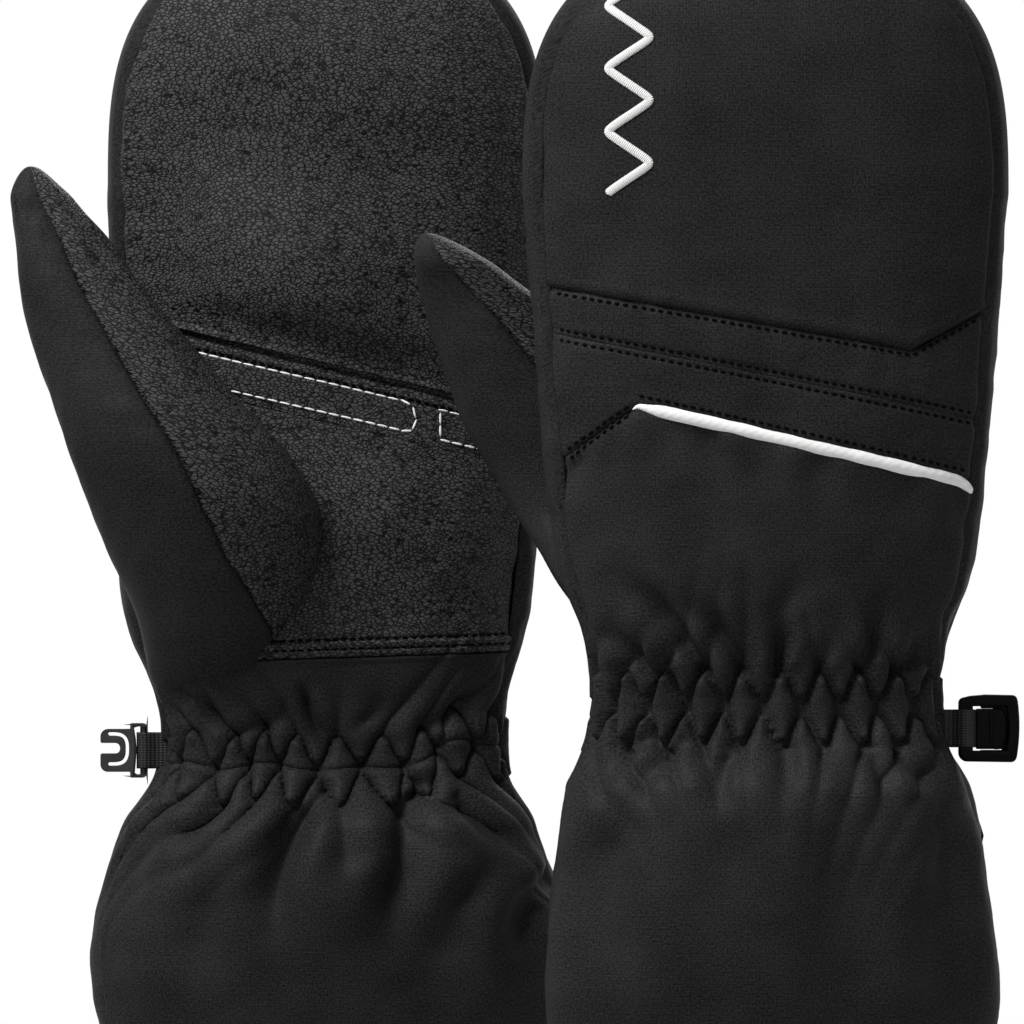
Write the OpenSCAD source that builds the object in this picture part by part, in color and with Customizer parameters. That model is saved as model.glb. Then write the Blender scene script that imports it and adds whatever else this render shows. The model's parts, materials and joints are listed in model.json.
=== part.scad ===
// A pair of ski mittens standing on their gauntlet hems, fingers up.
// The right mitten shows its back towards -Y, the left one its palm.
// Millimetres, +Z up. The origin is under the middle of the pair.

/* [Pair] */
// Distance between the centre lines of the two hands, along X
pair_spacing_x = 118; // [110:1:170]
// Distance between the middle planes of the two mittens, along Y
pair_spacing_y = 128; // [110:2:200]
// Shift of the pair along X that puts the origin under the middle of its box
pair_shift_x = 7.8; // [0:0.1:20]

/* [Right mitten] */
// Height of the elastic wrist above the hem
right_wrist_z = 105; // [85:1:130]
// Height of the finger tip end above the hem
right_top_z = 307; // [256:1:340]
// Half width of the hand across the knuckles
right_hand_w = 63.5; // [54:0.5:76]
// Half width at the heel of the hand
right_heel_w = 55; // [50:0.5:62]
// Half width at the elastic wrist
right_wrist_w = 46.5; // [40:0.5:50]
// Half width where the gauntlet flares out below the wrist
right_flare_w = 52; // [46:0.5:58]
// Largest half width of the gauntlet
right_cuff_w = 60.5; // [54:0.5:68]
// Half width at the hem
right_hem_w = 57.5; // [50:0.5:66]
// Tip of the thumb from the hand's centre line, X Y Z
right_thumb_tip = [-90.5, 22, 229]; // [-100:0.5:245]
// Middle of the thumb's root, X Y Z
right_thumb_root = [-49, 34.5, 160]; // [-70:0.5:180]

/* [Left mitten] */
// Height of the elastic wrist above the hem
left_wrist_z = 92; // [80:1:130]
// Height of the finger tip end above the hem
left_top_z = 313; // [280:1:340]
// Half width of the hand across the knuckles
left_hand_w = 60; // [54:0.5:72]
// Half width at the heel of the hand
left_heel_w = 56; // [50:0.5:62]
// Half width at the elastic wrist
left_wrist_w = 48; // [40:0.5:50]
// Half width where the gauntlet flares out below the wrist
left_flare_w = 55.5; // [46:0.5:60]
// Largest half width of the gauntlet
left_cuff_w = 65.5; // [54:0.5:68]
// Half width at the hem
left_hem_w = 62; // [50:0.5:66]
// Tip of the thumb from the hand's centre line, X Y Z
left_thumb_tip = [-79, 22, 246]; // [-100:0.5:260]
// Middle of the thumb's root, X Y Z
left_thumb_root = [-38, 34.5, 172]; // [-70:0.5:190]

/* [Depths] */
// Half depth of the hand at the fingers, back and palm side alike
hand_d = 22; // [18:0.5:28]
// Half depth at the heel of the hand
heel_d = 24; // [19:0.5:29]
// Half depth at the elastic wrist
wrist_d = 21; // [18:0.5:26]
// Half depth where the gauntlet flares out
flare_d = 28; // [22:0.5:32]
// Largest half depth of the gauntlet
cuff_d = 33; // [26:0.5:38]
// Half depth at the hem
hem_d = 31; // [24:0.5:36]

/* [Heights] */
// Height of the widest part of the gauntlet above the hem
bulge_z = 34; // [25:1:45]
// From the wrist down to where the gauntlet starts to flare
flare_drop = 23; // [18:1:32]
// Half height of the gathered wrist
gather_h = 12; // [10:0.5:16]
// From the wrist up to the heel of the hand
heel_rise = 40; // [30:1:48]
// Height of the rounded finger end
tip_h = 67; // [50:1:80]
// Shift of the gauntlet's middle away from the thumb
cuff_shift = 1.5; // [0:0.5:4]

/* [Back seams] */
// Knuckle seam at the thumb side, down from the finger end
knuckle_seam_thumb = 92; // [80:1:105]
// Knuckle seam at its lowest point
knuckle_seam_low = 108; // [95:1:115]
// Knuckle seam at the outer side
knuckle_seam_outer = 98.5; // [85:1:110]
// Middle seam at the thumb side
middle_seam_thumb = 105; // [100:1:112]
// Middle seam at the outer side
middle_seam_outer = 127; // [115:1:133]
// Piped seam at the thumb side
piped_seam_thumb = 137; // [130:1:145]
// Piped seam at the tip of the piping
piped_seam_high = 123; // [116:1:130]
// Piped seam at the outer side
piped_seam_outer = 144; // [136:1:152]
// Thickness of the piping cord
piping_dia = 3; // [2:0.25:4]

/* [Palm] */
// Palm fold at the thumb side, down from the finger end
fold_thumb = 103.5; // [95:1:115]
// Palm fold at the outer side
fold_outer = 130; // [120:1:140]
// Width of the grip strip below the fold
grip_w = 16; // [12:1:20]
// Height of the leather's lower hem above the wrist
palm_hem_rise = 26; // [22:0.5:32]
// Width of the leather's rolled hem
palm_hem_w = 4; // [3:0.5:6]
// Length of one white stitch
stitch_l = 4.6; // [3:0.2:7]
// Gap between two white stitches
stitch_gap = 1.6; // [1:0.2:3]

/* [Layers] */
// Thickness of the outer fabric and leather
shell_t = 0.9; // [0.6:0.1:1.4]
// Thickness of the insulation on the hand
fill_t = 3.4; // [2:0.2:5]
// Thickness of the insulation in the thumb
thumb_fill_t = 2.2; // [1.5:0.1:3]
// Thickness of the lining
lining_t = 1.1; // [0.8:0.1:1.6]
// Gap between two layers
layer_gap = 0.5; // [0.3:0.05:0.7]
// Gap between two panels at a seam
seam_gap = 0.2; // [0.1:0.05:0.4]
// Height of the hem binding
hem_h = 12; // [8:1:18]
// Height of one elastic band
elastic_h = 5; // [3:0.5:7]
// Thickness of an elastic band
elastic_t = 0.8; // [0.6:0.1:1.2]

/* [Clips] */
// Width of the webbing that holds a clip
webbing_w = 10; // [8:0.5:12]
// Thickness of the webbing
webbing_t = 0.8; // [0.6:0.1:1.2]
// Running gap between the webbing and the clip's bar
bar_gap = 0.2; // [0.15:0.05:0.3]
// From the wrist's side down to the middle of the right clip
right_clip_drop = 6.5; // [3:0.5:8]
// From the wrist's side down to the middle of the left clip
left_clip_drop = 2; // [0:0.5:6]
// Radius of the bar in the frame clip
frame_bar_r = 1.6; // [1.2:0.1:2]
// Thickness of the frame clip
frame_t = 3.6; // [3:0.1:5]
// Opening of the frame clip, along Z
frame_open = 12.6; // [12.6:0.1:15]
// Width of the frame clip's rim
frame_rim = 2.1; // [1.6:0.1:3]
// Radius of the bar in the hook clip
hook_bar_r = 1; // [0.9:0.1:1.2]
// Thickness of the hook clip
hook_t = 3.2; // [2.6:0.1:4]
// Width of the hook clip's tongue, which goes into the frame
hook_w = 12.2; // [11:0.1:12.4]

/* [Hidden] */

// Squareness of the outline at the finger end, and of a section through the hand
outline_n = 2.9;
section_n = 2.3;
// Angle, in a section, from the side line to the seam of the side gusset
gusset_angle = 19;
// Share of the finger end's height where the rounded panels are cut flat
flat_top = 0.994;
// Angles of the columns across an outer panel, and across a layer that reaches the side line
panel_angles = [for (i = [0 : 8]) gusset_angle + i * (180 - 2 * gusset_angle) / 8];
side_angles = [0.3, gusset_angle / 2];
layer_angles = concat(side_angles, panel_angles, [for (a = [1, 0]) 180 - side_angles[a]]);
// Heights of the rows in the rounded finger end, as shares of its height
tip_rows = [0.3, 0.54, 0.74, 0.88, 0.96];
sleeve_segs = 40;
cuff_folds = 10;
fold_depth = 2.6;
gather_folds = 20;
pleat_depth = 1.8;
$fn = 40;

black_cloth = "#16171a";
black_leather = "#1c1c1e";
white_trim = "#f2f2f2";
inner_cloth = "#3a3c40";
fill_white = "#c9ccd0";
clip_black = "#0d0e10";

// Sizes of one mitten, in one list
right = [pair_shift_x + pair_spacing_x / 2, -pair_spacing_y / 2, right_wrist_z, right_top_z,
    right_hand_w, right_heel_w, right_wrist_w, right_flare_w, right_cuff_w, right_hem_w,
    right_thumb_tip, right_thumb_root];
left = [pair_shift_x - pair_spacing_x / 2, pair_spacing_y / 2, left_wrist_z, left_top_z,
    left_hand_w, left_heel_w, left_wrist_w, left_flare_w, left_cuff_w, left_hem_w,
    left_thumb_tip, left_thumb_root];

function wrist_z(m) = m[2];
function top_z(m) = m[3];
function tip_z(m) = top_z(m) - tip_h;
function gather_top(m) = wrist_z(m) + gather_h;
function gather_low(m) = wrist_z(m) - gather_h;
function thumb_tip(m) = m[10];
function thumb_root(m) = m[11];

// Heights of the outline's stations, from the hem to the start of the finger end
function heights(m) = [0, bulge_z, wrist_z(m) - flare_drop, gather_low(m) + 4, gather_top(m),
    wrist_z(m) + heel_rise, tip_z(m)];
function pairs(a, b) = [for (i = [0 : len(a) - 1]) [a[i], b[i]]];
function width_stations(m) = pairs(heights(m), [m[9], m[8], m[7], m[6] + 0.5, m[6], m[5], m[4]]);
function depth_stations(m) = pairs(heights(m),
    [hem_d, cuff_d, flare_d, wrist_d + 0.5, wrist_d, heel_d, hand_d]);

// A smooth curve through stations [height, value]
function station(z, s, i = 0) = (i >= len(s) - 2 || z < s[i + 1][0]) ? i : station(z, s, i + 1);
function slope(s, i) = let (a = max(i - 1, 0), b = min(i + 1, len(s) - 1))
    (s[b][1] - s[a][1]) / (s[b][0] - s[a][0]);
function curve(z, s) = let (i = station(z, s), h = s[i + 1][0] - s[i][0],
    t = min(max((z - s[i][0]) / h, 0), 1), u = 1 - t)
    u * u * (1 + 2 * t) * s[i][1] + t * t * (1 + 2 * u) * s[i + 1][1]
    + h * t * u * (u * slope(s, i) - t * slope(s, i + 1));
function ease(t) = let (c = min(max(t, 0), 1)) c * c * (3 - 2 * c);

function half_w(m, z) = curve(min(z, tip_z(m)), width_stations(m));
function half_d(m, z) = curve(min(z, tip_z(m)), depth_stations(m));
function mid_x(m, z) = cuff_shift * (1 - ease((z - wrist_z(m)) / heel_rise));
function power(b, e) = b <= 0 ? 0 : pow(b, e);
function cs(a) = sign(cos(a)) * power(abs(cos(a)), 2 / section_n);
function sn(a) = sign(sin(a)) * power(abs(sin(a)), 2 / section_n);

// A point of the hand's surface: f is the place across, -1 at the thumb side to 1,
// z the height, side -1 for the back and 1 for the palm, and d the depth below the surface
function hand_pt(m, f, z, side, d) =
    let (t = max(0, (z - tip_z(m)) / tip_h),
        rho = power(power(abs(f), outline_n) + power(t, outline_n), 1 / outline_n))
    [mid_x(m, z) + f * (half_w(m, z) - d),
        side * (half_d(m, z) - d) * power(1 - power(rho, section_n), 1 / section_n),
        t > 0 ? tip_z(m) + t * (tip_h - d) : z];
// Places across of a panel's columns, -1 to 1, from the angles of its columns
function across(angles) = [for (a = angles) -cs(a) / cs(angles[0])];
// Largest f at height z for a panel whose first column is at that angle
function reach(m, z, edge) = let (t = max(0, (z - tip_z(m)) / tip_h))
    power(power(cs(edge), outline_n) - power(t, outline_n), 1 / outline_n);
// Heights of the rows from lo up to hi, or up through the finger end when hi is undef. rows is
// the number of equal steps, or a list of the heights up to the finger end
function row_heights(m, lo, hi, rows, edge) = is_undef(hi)
    ? concat(is_list(rows) ? rows : [for (j = [0 : rows]) lo + (tip_z(m) - lo) * j / rows],
        [for (t = tip_rows) tip_z(m) + tip_h * cs(edge) * t], [tip_z(m) + tip_h * cs(edge) * flat_top])
    : [for (j = [0 : rows]) lo + (hi - lo) * j / rows];

// Closed solids from grids of points. Faces are turned so that they point outwards
function tri_sum(p, f) = [for (t = f) cross(p[t[0]], p[t[1]]) * p[t[2]]];
function total(v, i = 0, s = 0) = i >= len(v) ? s : total(v, i + 1, s + v[i]);
module solid(points, faces) {
    volume = total(tri_sum(points, faces));
    polyhedron(points, volume > 0 ? [for (t = faces) [t[2], t[1], t[0]]] : faces, convexity = 8);
}
function quad(a, b, c, d) = [[a, b, c], [a, c, d]];
function flat(l) = [for (a = l) for (b = a) b];
// A slab between two grids of rows x cols points
module slab(outer, inner) {
    rows = len(outer);
    cols = len(outer[0]);
    n = rows * cols;
    top = [for (j = [0 : rows - 2]) for (i = [0 : cols - 2]) each
        quad(j * cols + i, j * cols + i + 1, (j + 1) * cols + i + 1, (j + 1) * cols + i)];
    low = [for (t = top) [t[2] + n, t[1] + n, t[0] + n]];
    rim = concat([for (i = [0 : cols - 1]) i], [for (j = [1 : rows - 1]) j * cols + cols - 1],
        [for (i = [cols - 2 : -1 : 0]) (rows - 1) * cols + i], [for (j = [rows - 2 : -1 : 1]) j * cols]);
    k = len(rim);
    side = [for (i = [0 : k - 1]) each quad(rim[(i + 1) % k], rim[i], rim[i] + n, rim[(i + 1) % k] + n)];
    solid(concat(flat(outer), flat(inner)), concat(top, low, side));
}
// A sleeve between two stacks of closed rings, open at both ends, or capped at the last ring
module sleeve(outer, inner, capped = false) {
    rows = len(outer);
    cols = len(outer[0]);
    n = rows * cols;
    wall = [for (j = [0 : rows - 2]) for (i = [0 : cols - 1]) each
        quad(j * cols + i, j * cols + (i + 1) % cols, (j + 1) * cols + (i + 1) % cols, (j + 1) * cols + i)];
    bore = [for (t = wall) [t[2] + n, t[1] + n, t[0] + n]];
    mouth = [for (i = [0 : cols - 1]) each quad((i + 1) % cols, i, i + n, (i + 1) % cols + n)];
    last = (rows - 1) * cols;
    end = capped
        ? concat([for (i = [0 : cols - 1]) [last + i, last + (i + 1) % cols, 2 * n]],
            [for (i = [0 : cols - 1]) [last + (i + 1) % cols + n, last + i + n, 2 * n + 1]])
        : [for (i = [0 : cols - 1]) each quad(last + i, last + (i + 1) % cols,
            last + (i + 1) % cols + n, last + i + n)];
    tips = capped ? [middle(outer[rows - 1]), middle(inner[rows - 1])] : [];
    solid(concat(flat(outer), flat(inner), tips), concat(wall, bore, mouth, end));
}
function middle(ring) = total(ring, 0, [0, 0, 0]) / len(ring);

// A panel of the hand. low and high give its edges' heights across it, or high is undef and it
// closes at the finger end. It can be narrowed to the places across between f0 and f1
module panel(m, low, high, rows, side, angles, d0, d1, f0 = -1, f1 = 1) {
    least = 0.008;
    f = concat([f0], [for (g = across(angles)) if (g > f0 + least && g < f1 - least) g], [f1]);
    columns = [for (g = f) row_heights(m, low(g), is_undef(high) ? undef : high(g), rows, angles[0])];
    grid = function (d) [for (j = [0 : len(columns[0]) - 1]) [for (i = [0 : len(f) - 1])
        let (z = columns[i][j]) hand_pt(m, f[i] * reach(m, z, angles[0]), z, side, d)]];
    slab(grid(d0), grid(d1));
}
// Height of a straight seam that is drop0 below the finger end at f = -1 and drop1 at f = 1
function seam_z(m, f, drop0, drop1) = top_z(m) - drop0 - (drop1 - drop0) * (f + 1) / 2;
// The knuckle seam falls to its lowest point at 0.6 of the half width and then rises
function knuckle_z(m, f) = f < 0.6
    ? seam_z(m, (f + 1) / 0.8 - 1, knuckle_seam_thumb, knuckle_seam_low)
    : seam_z(m, (f - 0.6) / 0.2 - 1, knuckle_seam_low, knuckle_seam_outer);
function middle_z(m, f) = seam_z(m, f, middle_seam_thumb, middle_seam_outer);
// The piped seam rises from the thumb side to the tip of the piping and then falls
function piped_z(m, f) = f < -0.55
    ? seam_z(m, (f + 1) / 0.225 - 1, piped_seam_thumb, piped_seam_high)
    : seam_z(m, (f + 0.55) / 0.775 - 1, piped_seam_high, piped_seam_outer);
function fold_z(m, f) = seam_z(m, f, fold_thumb, fold_outer);
function palm_hem_z(m) = wrist_z(m) + palm_hem_rise;

// A sleeve ring round the gauntlet or wrist at height z, d below the folded surface
function ring(m, z, d, segs, folds, depth) = [for (i = [0 : segs - 1])
    let (a = i * 360 / segs, e = d + depth * (0.5 - 0.5 * cos(folds * a)))
    [mid_x(m, z) + (half_w(m, z) - e) * cs(a), (half_d(m, z) - e) * sn(a), z]];
function cuff_fold(m, z) = fold_depth * (0.15 + 0.85 * ease(z / gather_low(m)));

// Each mitten stands in its place. The left one is the right one mirrored front to back
module place(m) {
    translate([m[0], m[1], 0]) mirror([0, m[1] > 0 ? 1 : 0, 0]) children();
}

// ---- back of the hand ----
module back_top_panel(m) {
    low = function (f) knuckle_z(m, f) + seam_gap / 2;
    color(black_cloth) place(m) panel(m, low, undef, 2, -1, panel_angles, 0, shell_t);
}
module back_upper_band(m) {
    low = function (f) middle_z(m, f) + seam_gap / 2;
    high = function (f) knuckle_z(m, f) - seam_gap / 2;
    color(black_cloth) place(m) panel(m, low, high, 1, -1, panel_angles, 0, shell_t);
}
module back_lower_band(m) {
    low = function (f) piped_z(m, f) + seam_gap / 2;
    high = function (f) middle_z(m, f) - seam_gap / 2;
    color(black_cloth) place(m) panel(m, low, high, 1, -1, panel_angles, 0, shell_t);
}
module back_wrist_panel(m) {
    low = function (f) gather_top(m) + seam_gap;
    high = function (f) piped_z(m, f) - seam_gap / 2;
    color(black_cloth) place(m) panel(m, low, high, 4, -1, panel_angles, 0, shell_t);
}
// A round cord through points, thin at both ends
module cord(points, r, sides = 8) {
    n = len(points);
    rings = [for (k = [0 : n - 1])
        let (t = points[min(k + 1, n - 1)] - points[max(k - 1, 0)], q = t / norm(t),
            u = cross(q, [0, 1, 0]) / norm(cross(q, [0, 1, 0])), v = cross(q, u),
            w = (k == 0 || k == n - 1) ? 0.35 * r : r)
        [for (i = [0 : sides - 1]) points[k] + w * (u * cos(i * 360 / sides) + v * sin(i * 360 / sides))]];
    wall = [for (j = [0 : n - 2]) for (i = [0 : sides - 1]) each quad(j * sides + i,
        j * sides + (i + 1) % sides, (j + 1) * sides + (i + 1) % sides, (j + 1) * sides + i)];
    ends = [for (i = [1 : sides - 2]) each [[0, i + 1, i],
        [(n - 1) * sides, (n - 1) * sides + i, (n - 1) * sides + i + 1]]];
    solid(flat(rings), concat(wall, ends));
}
module piping(m) {
    r = piping_dia / 2;
    color(white_trim) place(m)
        cord([for (k = [0 : 12]) let (f = -0.56 + 1.44 * k / 12)
            hand_pt(m, f * cs(gusset_angle), piped_z(m, f), -1, -r - 0.15)], r);
}
// A zigzag of satin stitches that runs up the thumb side of the back
module embroidery(m) {
    bars = 7;
    pitch = 8.2;
    inner_f = -0.48;
    outer_f = -0.645;
    half_bar = 1.4;
    first = top_z(m) - 68;
    grid = function (d) [for (k = [0 : bars]) [for (s = [-1, 1])
        hand_pt(m, k % 2 == 0 ? outer_f : inner_f, first + k * pitch + s * half_bar, -1, d)]];
    color(white_trim) place(m) slab(grid(-0.95), grid(-0.35));
}

// The thumb's hole in the palm is left open at its thumb side, up to hole_f across
hole_f = -0.12;
hole_below = 35;
hole_above = 2;
function hole_low(m) = max(thumb_root(m)[2] - hole_below, gather_top(m) + 5);
function hole_high(m) = thumb_root(m)[2] - hole_above;
// Heights of the rows that the gussets and the layers inside the hand share, so that they nest:
// equal steps from the wrist to the thumb's hole, beside the hole and on to the finger end
level_steps = [2, 2, 3];
function hand_levels(m) = let (z = [gather_top(m) + seam_gap, hole_low(m), hole_high(m), tip_z(m)])
    concat([for (k = [0 : 2]) for (j = [0 : level_steps[k] - 1])
        z[k] + (z[k + 1] - z[k]) * j / level_steps[k]], [tip_z(m)]);

// ---- side gusset: a strip from the wrist up to the middle of the finger end ----
module gusset(m, sx) {
    rows_tip = 8;
    end_gap = 0.1;
    angles = [-gusset_angle + 0.4, -gusset_angle / 2, 0, gusset_angle / 2, gusset_angle - 0.4];
    grid = function (d) concat(
        [for (z = hand_levels(m)) [for (a = angles)
            [mid_x(m, z) + sx * (half_w(m, z) - d) * cs(a), (half_d(m, z) - d) * sn(a), z]]],
        [for (j = [1 : rows_tip]) let (q = 90 * j / rows_tip) [for (a = angles)
            [sx * max(end_gap, (half_w(m, tip_z(m)) - d) * cs(a) * power(cos(q), 2 / outline_n)),
                (half_d(m, tip_z(m)) - d) * sn(a),
                tip_z(m) + (tip_h - d) * cs(a) * power(sin(q), 2 / outline_n)]]]);
    slab(grid(0), grid(shell_t));
}
module thumb_side_gusset(m) { color(black_cloth) place(m) gusset(m, -1); }
module outer_side_gusset(m) { color(black_cloth) place(m) gusset(m, 1); }

// ---- palm ----
module palm_upper_leather(m) {
    low = function (f) fold_z(m, f) + seam_gap / 2;
    color(black_leather) place(m) panel(m, low, undef, 2, 1, panel_angles, 0, shell_t);
}
module palm_grip_strip(m) {
    low = function (f) fold_z(m, f) - grip_w + seam_gap / 2;
    high = function (f) fold_z(m, f) - seam_gap / 2;
    color(black_leather) place(m) panel(m, low, high, 1, 1, panel_angles, 0, shell_t);
}
// Beside the hole the leather starts at the thumb's root, and above it at the side seam
module palm_lower_leather(m) {
    low = function (f) palm_hem_z(m) + palm_hem_w / 2 + seam_gap / 2;
    above = function (f) hole_high(m);
    high = function (f) fold_z(m, f) - grip_w - seam_gap / 2;
    color(black_leather) place(m) {
        panel(m, low, high, 4, 1, panel_angles, 0, shell_t, f0 = hole_f);
        panel(m, above, high, 1, 1, panel_angles, 0, shell_t, f1 = hole_f - 0.004);
    }
}
module palm_hem_band(m) {
    low = function (f) palm_hem_z(m) - palm_hem_w / 2 + seam_gap / 2;
    high = function (f) palm_hem_z(m) + palm_hem_w / 2 - seam_gap / 2;
    color(black_leather) place(m) panel(m, low, high, 1, 1, panel_angles, -0.6, shell_t, f0 = hole_f);
}
// Fabric below the leather, which reaches up to the thumb's hole at the thumb side
module palm_wrist_panel(m) {
    under_leather = palm_hem_z(m) - palm_hem_w / 2 - seam_gap / 2;
    under_hole = hole_low(m) - seam_gap;
    shared = min(under_leather, under_hole);
    low = function (f) gather_top(m) + seam_gap;
    high = function (f) shared;
    next = function (f) shared + seam_gap;
    color(black_cloth) place(m) {
        panel(m, low, high, 2, 1, panel_angles, 0, shell_t);
        if (under_hole > shared + 1)
            panel(m, next, function (f) under_hole, 1, 1, panel_angles, 0, shell_t, f1 = hole_f - 0.004);
        if (under_leather > shared + 1)
            panel(m, next, function (f) under_leather, 1, 1, panel_angles, 0, shell_t, f0 = hole_f);
    }
}
// White stitches round two tabs of the grip strip. Each stitch lies just above the leather
module palm_stitching(m) {
    wide = 8.2;
    drop = 5.4;
    pitch = stitch_l + stitch_gap;
    w = m[4];
    color(white_trim) place(m)
        for (tab = [[-32, 9], [32, 3]]) for (row = [0, 1]) for (k = [0 : tab[1] - 1]) {
            x = tab[0] + (k + 0.5) * pitch;
            z = fold_z(m, x / w) - drop - wide * row;
            p = hand_pt(m, x / half_w(m, z), z, 1, -0.55);
            q = hand_pt(m, (x + 1) / half_w(m, z), fold_z(m, (x + 1) / w) - drop - wide * row, 1, -0.55) - p;
            translate(p) rotate([0, -atan2(q[2], q[0]), atan2(q[1], q[0])])
                cube([stitch_l, 0.5, 0.6], center = true);
        }
}

// ---- layers inside the hand ----
fill_d0 = shell_t + layer_gap;
fill_d1 = fill_d0 + fill_t;
lining_d0 = fill_d1 + layer_gap;
lining_d1 = lining_d0 + lining_t;
module back_layer(m, d0, d1) {
    low = function (f) gather_top(m) + seam_gap;
    panel(m, low, undef, hand_levels(m), -1, layer_angles, d0, d1);
}
// The palm side of a layer goes round the thumb's hole
module palm_layer(m, d0, d1) {
    low = function (f) gather_top(m) + seam_gap;
    below = function (f) hole_low(m) - seam_gap;
    beside_low = function (f) hole_low(m);
    beside_high = function (f) hole_high(m);
    above = function (f) hole_high(m) + seam_gap;
    panel(m, low, below, level_steps[0], 1, layer_angles, d0, d1);
    panel(m, beside_low, beside_high, level_steps[1], 1, layer_angles, d0, d1, f0 = hole_f);
    panel(m, above, undef, level_steps[2], 1, layer_angles, d0, d1);
}
module hand_back_insulation(m) { color(fill_white) place(m) back_layer(m, fill_d0, fill_d1); }
module hand_palm_insulation(m) { color(fill_white) place(m) palm_layer(m, fill_d0, fill_d1); }
module hand_lining(m) {
    color(inner_cloth) place(m) {
        back_layer(m, lining_d0, lining_d1);
        palm_layer(m, lining_d0, lining_d1);
    }
}

// ---- thumb ----
// Half width of the thumb at distance t from its tip
thumb_stations = [[0, 1.5], [2.5, 5], [8, 8], [21, 11.5], [37, 15.3], [53, 18.6], [72, 21], [100, 22]];
// Depth of the thumb over its width, on the palm side and on the side next to the hand
thumb_rise = 0.62;
thumb_fall = 0.56;
// Distances of the rings from the tip
thumb_rings = [0, 1.5, 4, 8, 14, 22, 34, 50];
thumb_segs = 12;
function thumb_len(m) = norm(thumb_root(m) - thumb_tip(m));
function thumb_dir(m) = (thumb_tip(m) - thumb_root(m)) / thumb_len(m);
function thumb_side(m) = let (c = cross([0, 1, 0], thumb_dir(m))) -c / norm(c);
function thumb_front(m) = cross(thumb_side(m), thumb_dir(m));
// A point of the thumb: t from the tip, angle a, 0 at the outer side and 90 at the palm side
function thumb_pt(m, t, a, d) = let (r = curve(t, thumb_stations),
    depth = r * (sin(a) > 0 ? thumb_rise : thumb_fall))
    thumb_tip(m) - t * thumb_dir(m) + thumb_side(m) * (r - d) * cs(a)
        + thumb_front(m) * max(depth - d, 0.1) * sn(a);
function thumb_levels(m, first) =
    concat([for (k = [first : len(thumb_rings) - 1]) thumb_rings[k]], [thumb_len(m)]);
module thumb_half(m, a0) {
    shrink = function (t, d) d * min(1, t / thumb_rings[2]);
    grid = function (d) [for (t = thumb_levels(m, 0)) [for (i = [0 : thumb_segs / 2])
        let (a = a0 + i * 360 / thumb_segs + (i == 0 ? 0.6 : i == thumb_segs / 2 ? -0.6 : 0))
        thumb_pt(m, t == 0 ? d : t, a, shrink(t, d))]];
    slab(grid(0), grid(shell_t));
}
module thumb_fabric_panel(m) { color(black_cloth) place(m) thumb_half(m, -90); }
module thumb_leather_panel(m) { color(black_leather) place(m) thumb_half(m, 90); }
module thumb_sleeve(m, first, d0, d1) {
    levels = thumb_levels(m, first);
    n = len(levels) - 1;
    stack = function (d) [for (j = [n : -1 : 0]) [for (i = [0 : thumb_segs - 1])
        thumb_pt(m, levels[j] + (j == 0 ? d - d0 : 0), i * 360 / thumb_segs, d)]];
    sleeve(stack(d0), stack(d1), true);
}
thumb_fill_d1 = fill_d0 + thumb_fill_t;
thumb_lining_d0 = thumb_fill_d1 + layer_gap;
module thumb_insulation(m) { color(fill_white) place(m) thumb_sleeve(m, 2, fill_d0, thumb_fill_d1); }
module thumb_lining(m) {
    color(inner_cloth) place(m) thumb_sleeve(m, 3, thumb_lining_d0, thumb_lining_d0 + lining_t);
}
// The hood between the thumb and the palm. It gives way when the thumb moves
module hood(m) {
    rows = 4;
    cols = 10;
    foot_w = 27;
    foot_h = 36;
    swell = 9;
    off = 0.5;
    most_f = 0.96;
    base = thumb_root(m) + [9, 0, -6];
    place_on = function (p) let (w = half_w(m, p[2]), x = min(max(p[0], -most_f * w), most_f * w),
        y = hand_pt(m, x / w, p[2], 1, 0)[1]) [x, y, p[2]];
    foot = function (q) place_on(base + thumb_side(m) * foot_w * cos(q) - thumb_dir(m) * foot_h * sin(q));
    grid = function (d) [for (j = [0 : rows]) let (s = j / rows) [for (i = [0 : cols])
        let (q = 180 * i / cols, a = thumb_pt(m, thumb_len(m) + 0.5, q, 0), b = foot(q),
            p = a * (1 - s) + b * s + [0, swell * sin(180 * s) * sin(q), 0], under = place_on(p))
        [p[0], max(p[1], under[1] + off + shell_t) - d, p[2]]]];
    slab(grid(0), grid(shell_t));
}
module thumb_hood(m) { color(black_cloth) place(m) hood(m); }

// ---- gathered wrist ----
function gather_stack(m, d) = [for (j = [0 : 4]) let (s = j / 4,
    z = gather_low(m) + seam_gap + (2 * gather_h - 2 * seam_gap) * s)
    ring(m, z, d, sleeve_segs, gather_folds, pleat_depth * sin(180 * s))];
module wrist_gather(m) { color(black_cloth) place(m) sleeve(gather_stack(m, 0), gather_stack(m, shell_t)); }
// Two elastic bands lie inside the gathers
module wrist_elastic(m) {
    d0 = shell_t + pleat_depth + seam_gap;
    color(inner_cloth) place(m) for (s = [-1, 1]) {
        z = wrist_z(m) + s * elastic_h;
        stack = function (d) [for (e = [-1, 1]) ring(m, z + e * (elastic_h - 0.6) / 2, d, sleeve_segs, 1, 0)];
        sleeve(stack(d0), stack(d0 + elastic_t));
    }
}

// ---- gauntlet ----
function cuff_stack(m, z0, z1, rows, d) = [for (j = [0 : rows]) let (z = z0 + (z1 - z0) * j / rows)
    ring(m, z, d, sleeve_segs, cuff_folds, cuff_fold(m, z))];
module cuff_shell(m) {
    z0 = hem_h + seam_gap;
    z1 = gather_low(m) - seam_gap;
    color(black_cloth) place(m) sleeve(cuff_stack(m, z0, z1, 5, 0), cuff_stack(m, z0, z1, 5, shell_t));
}
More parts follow.
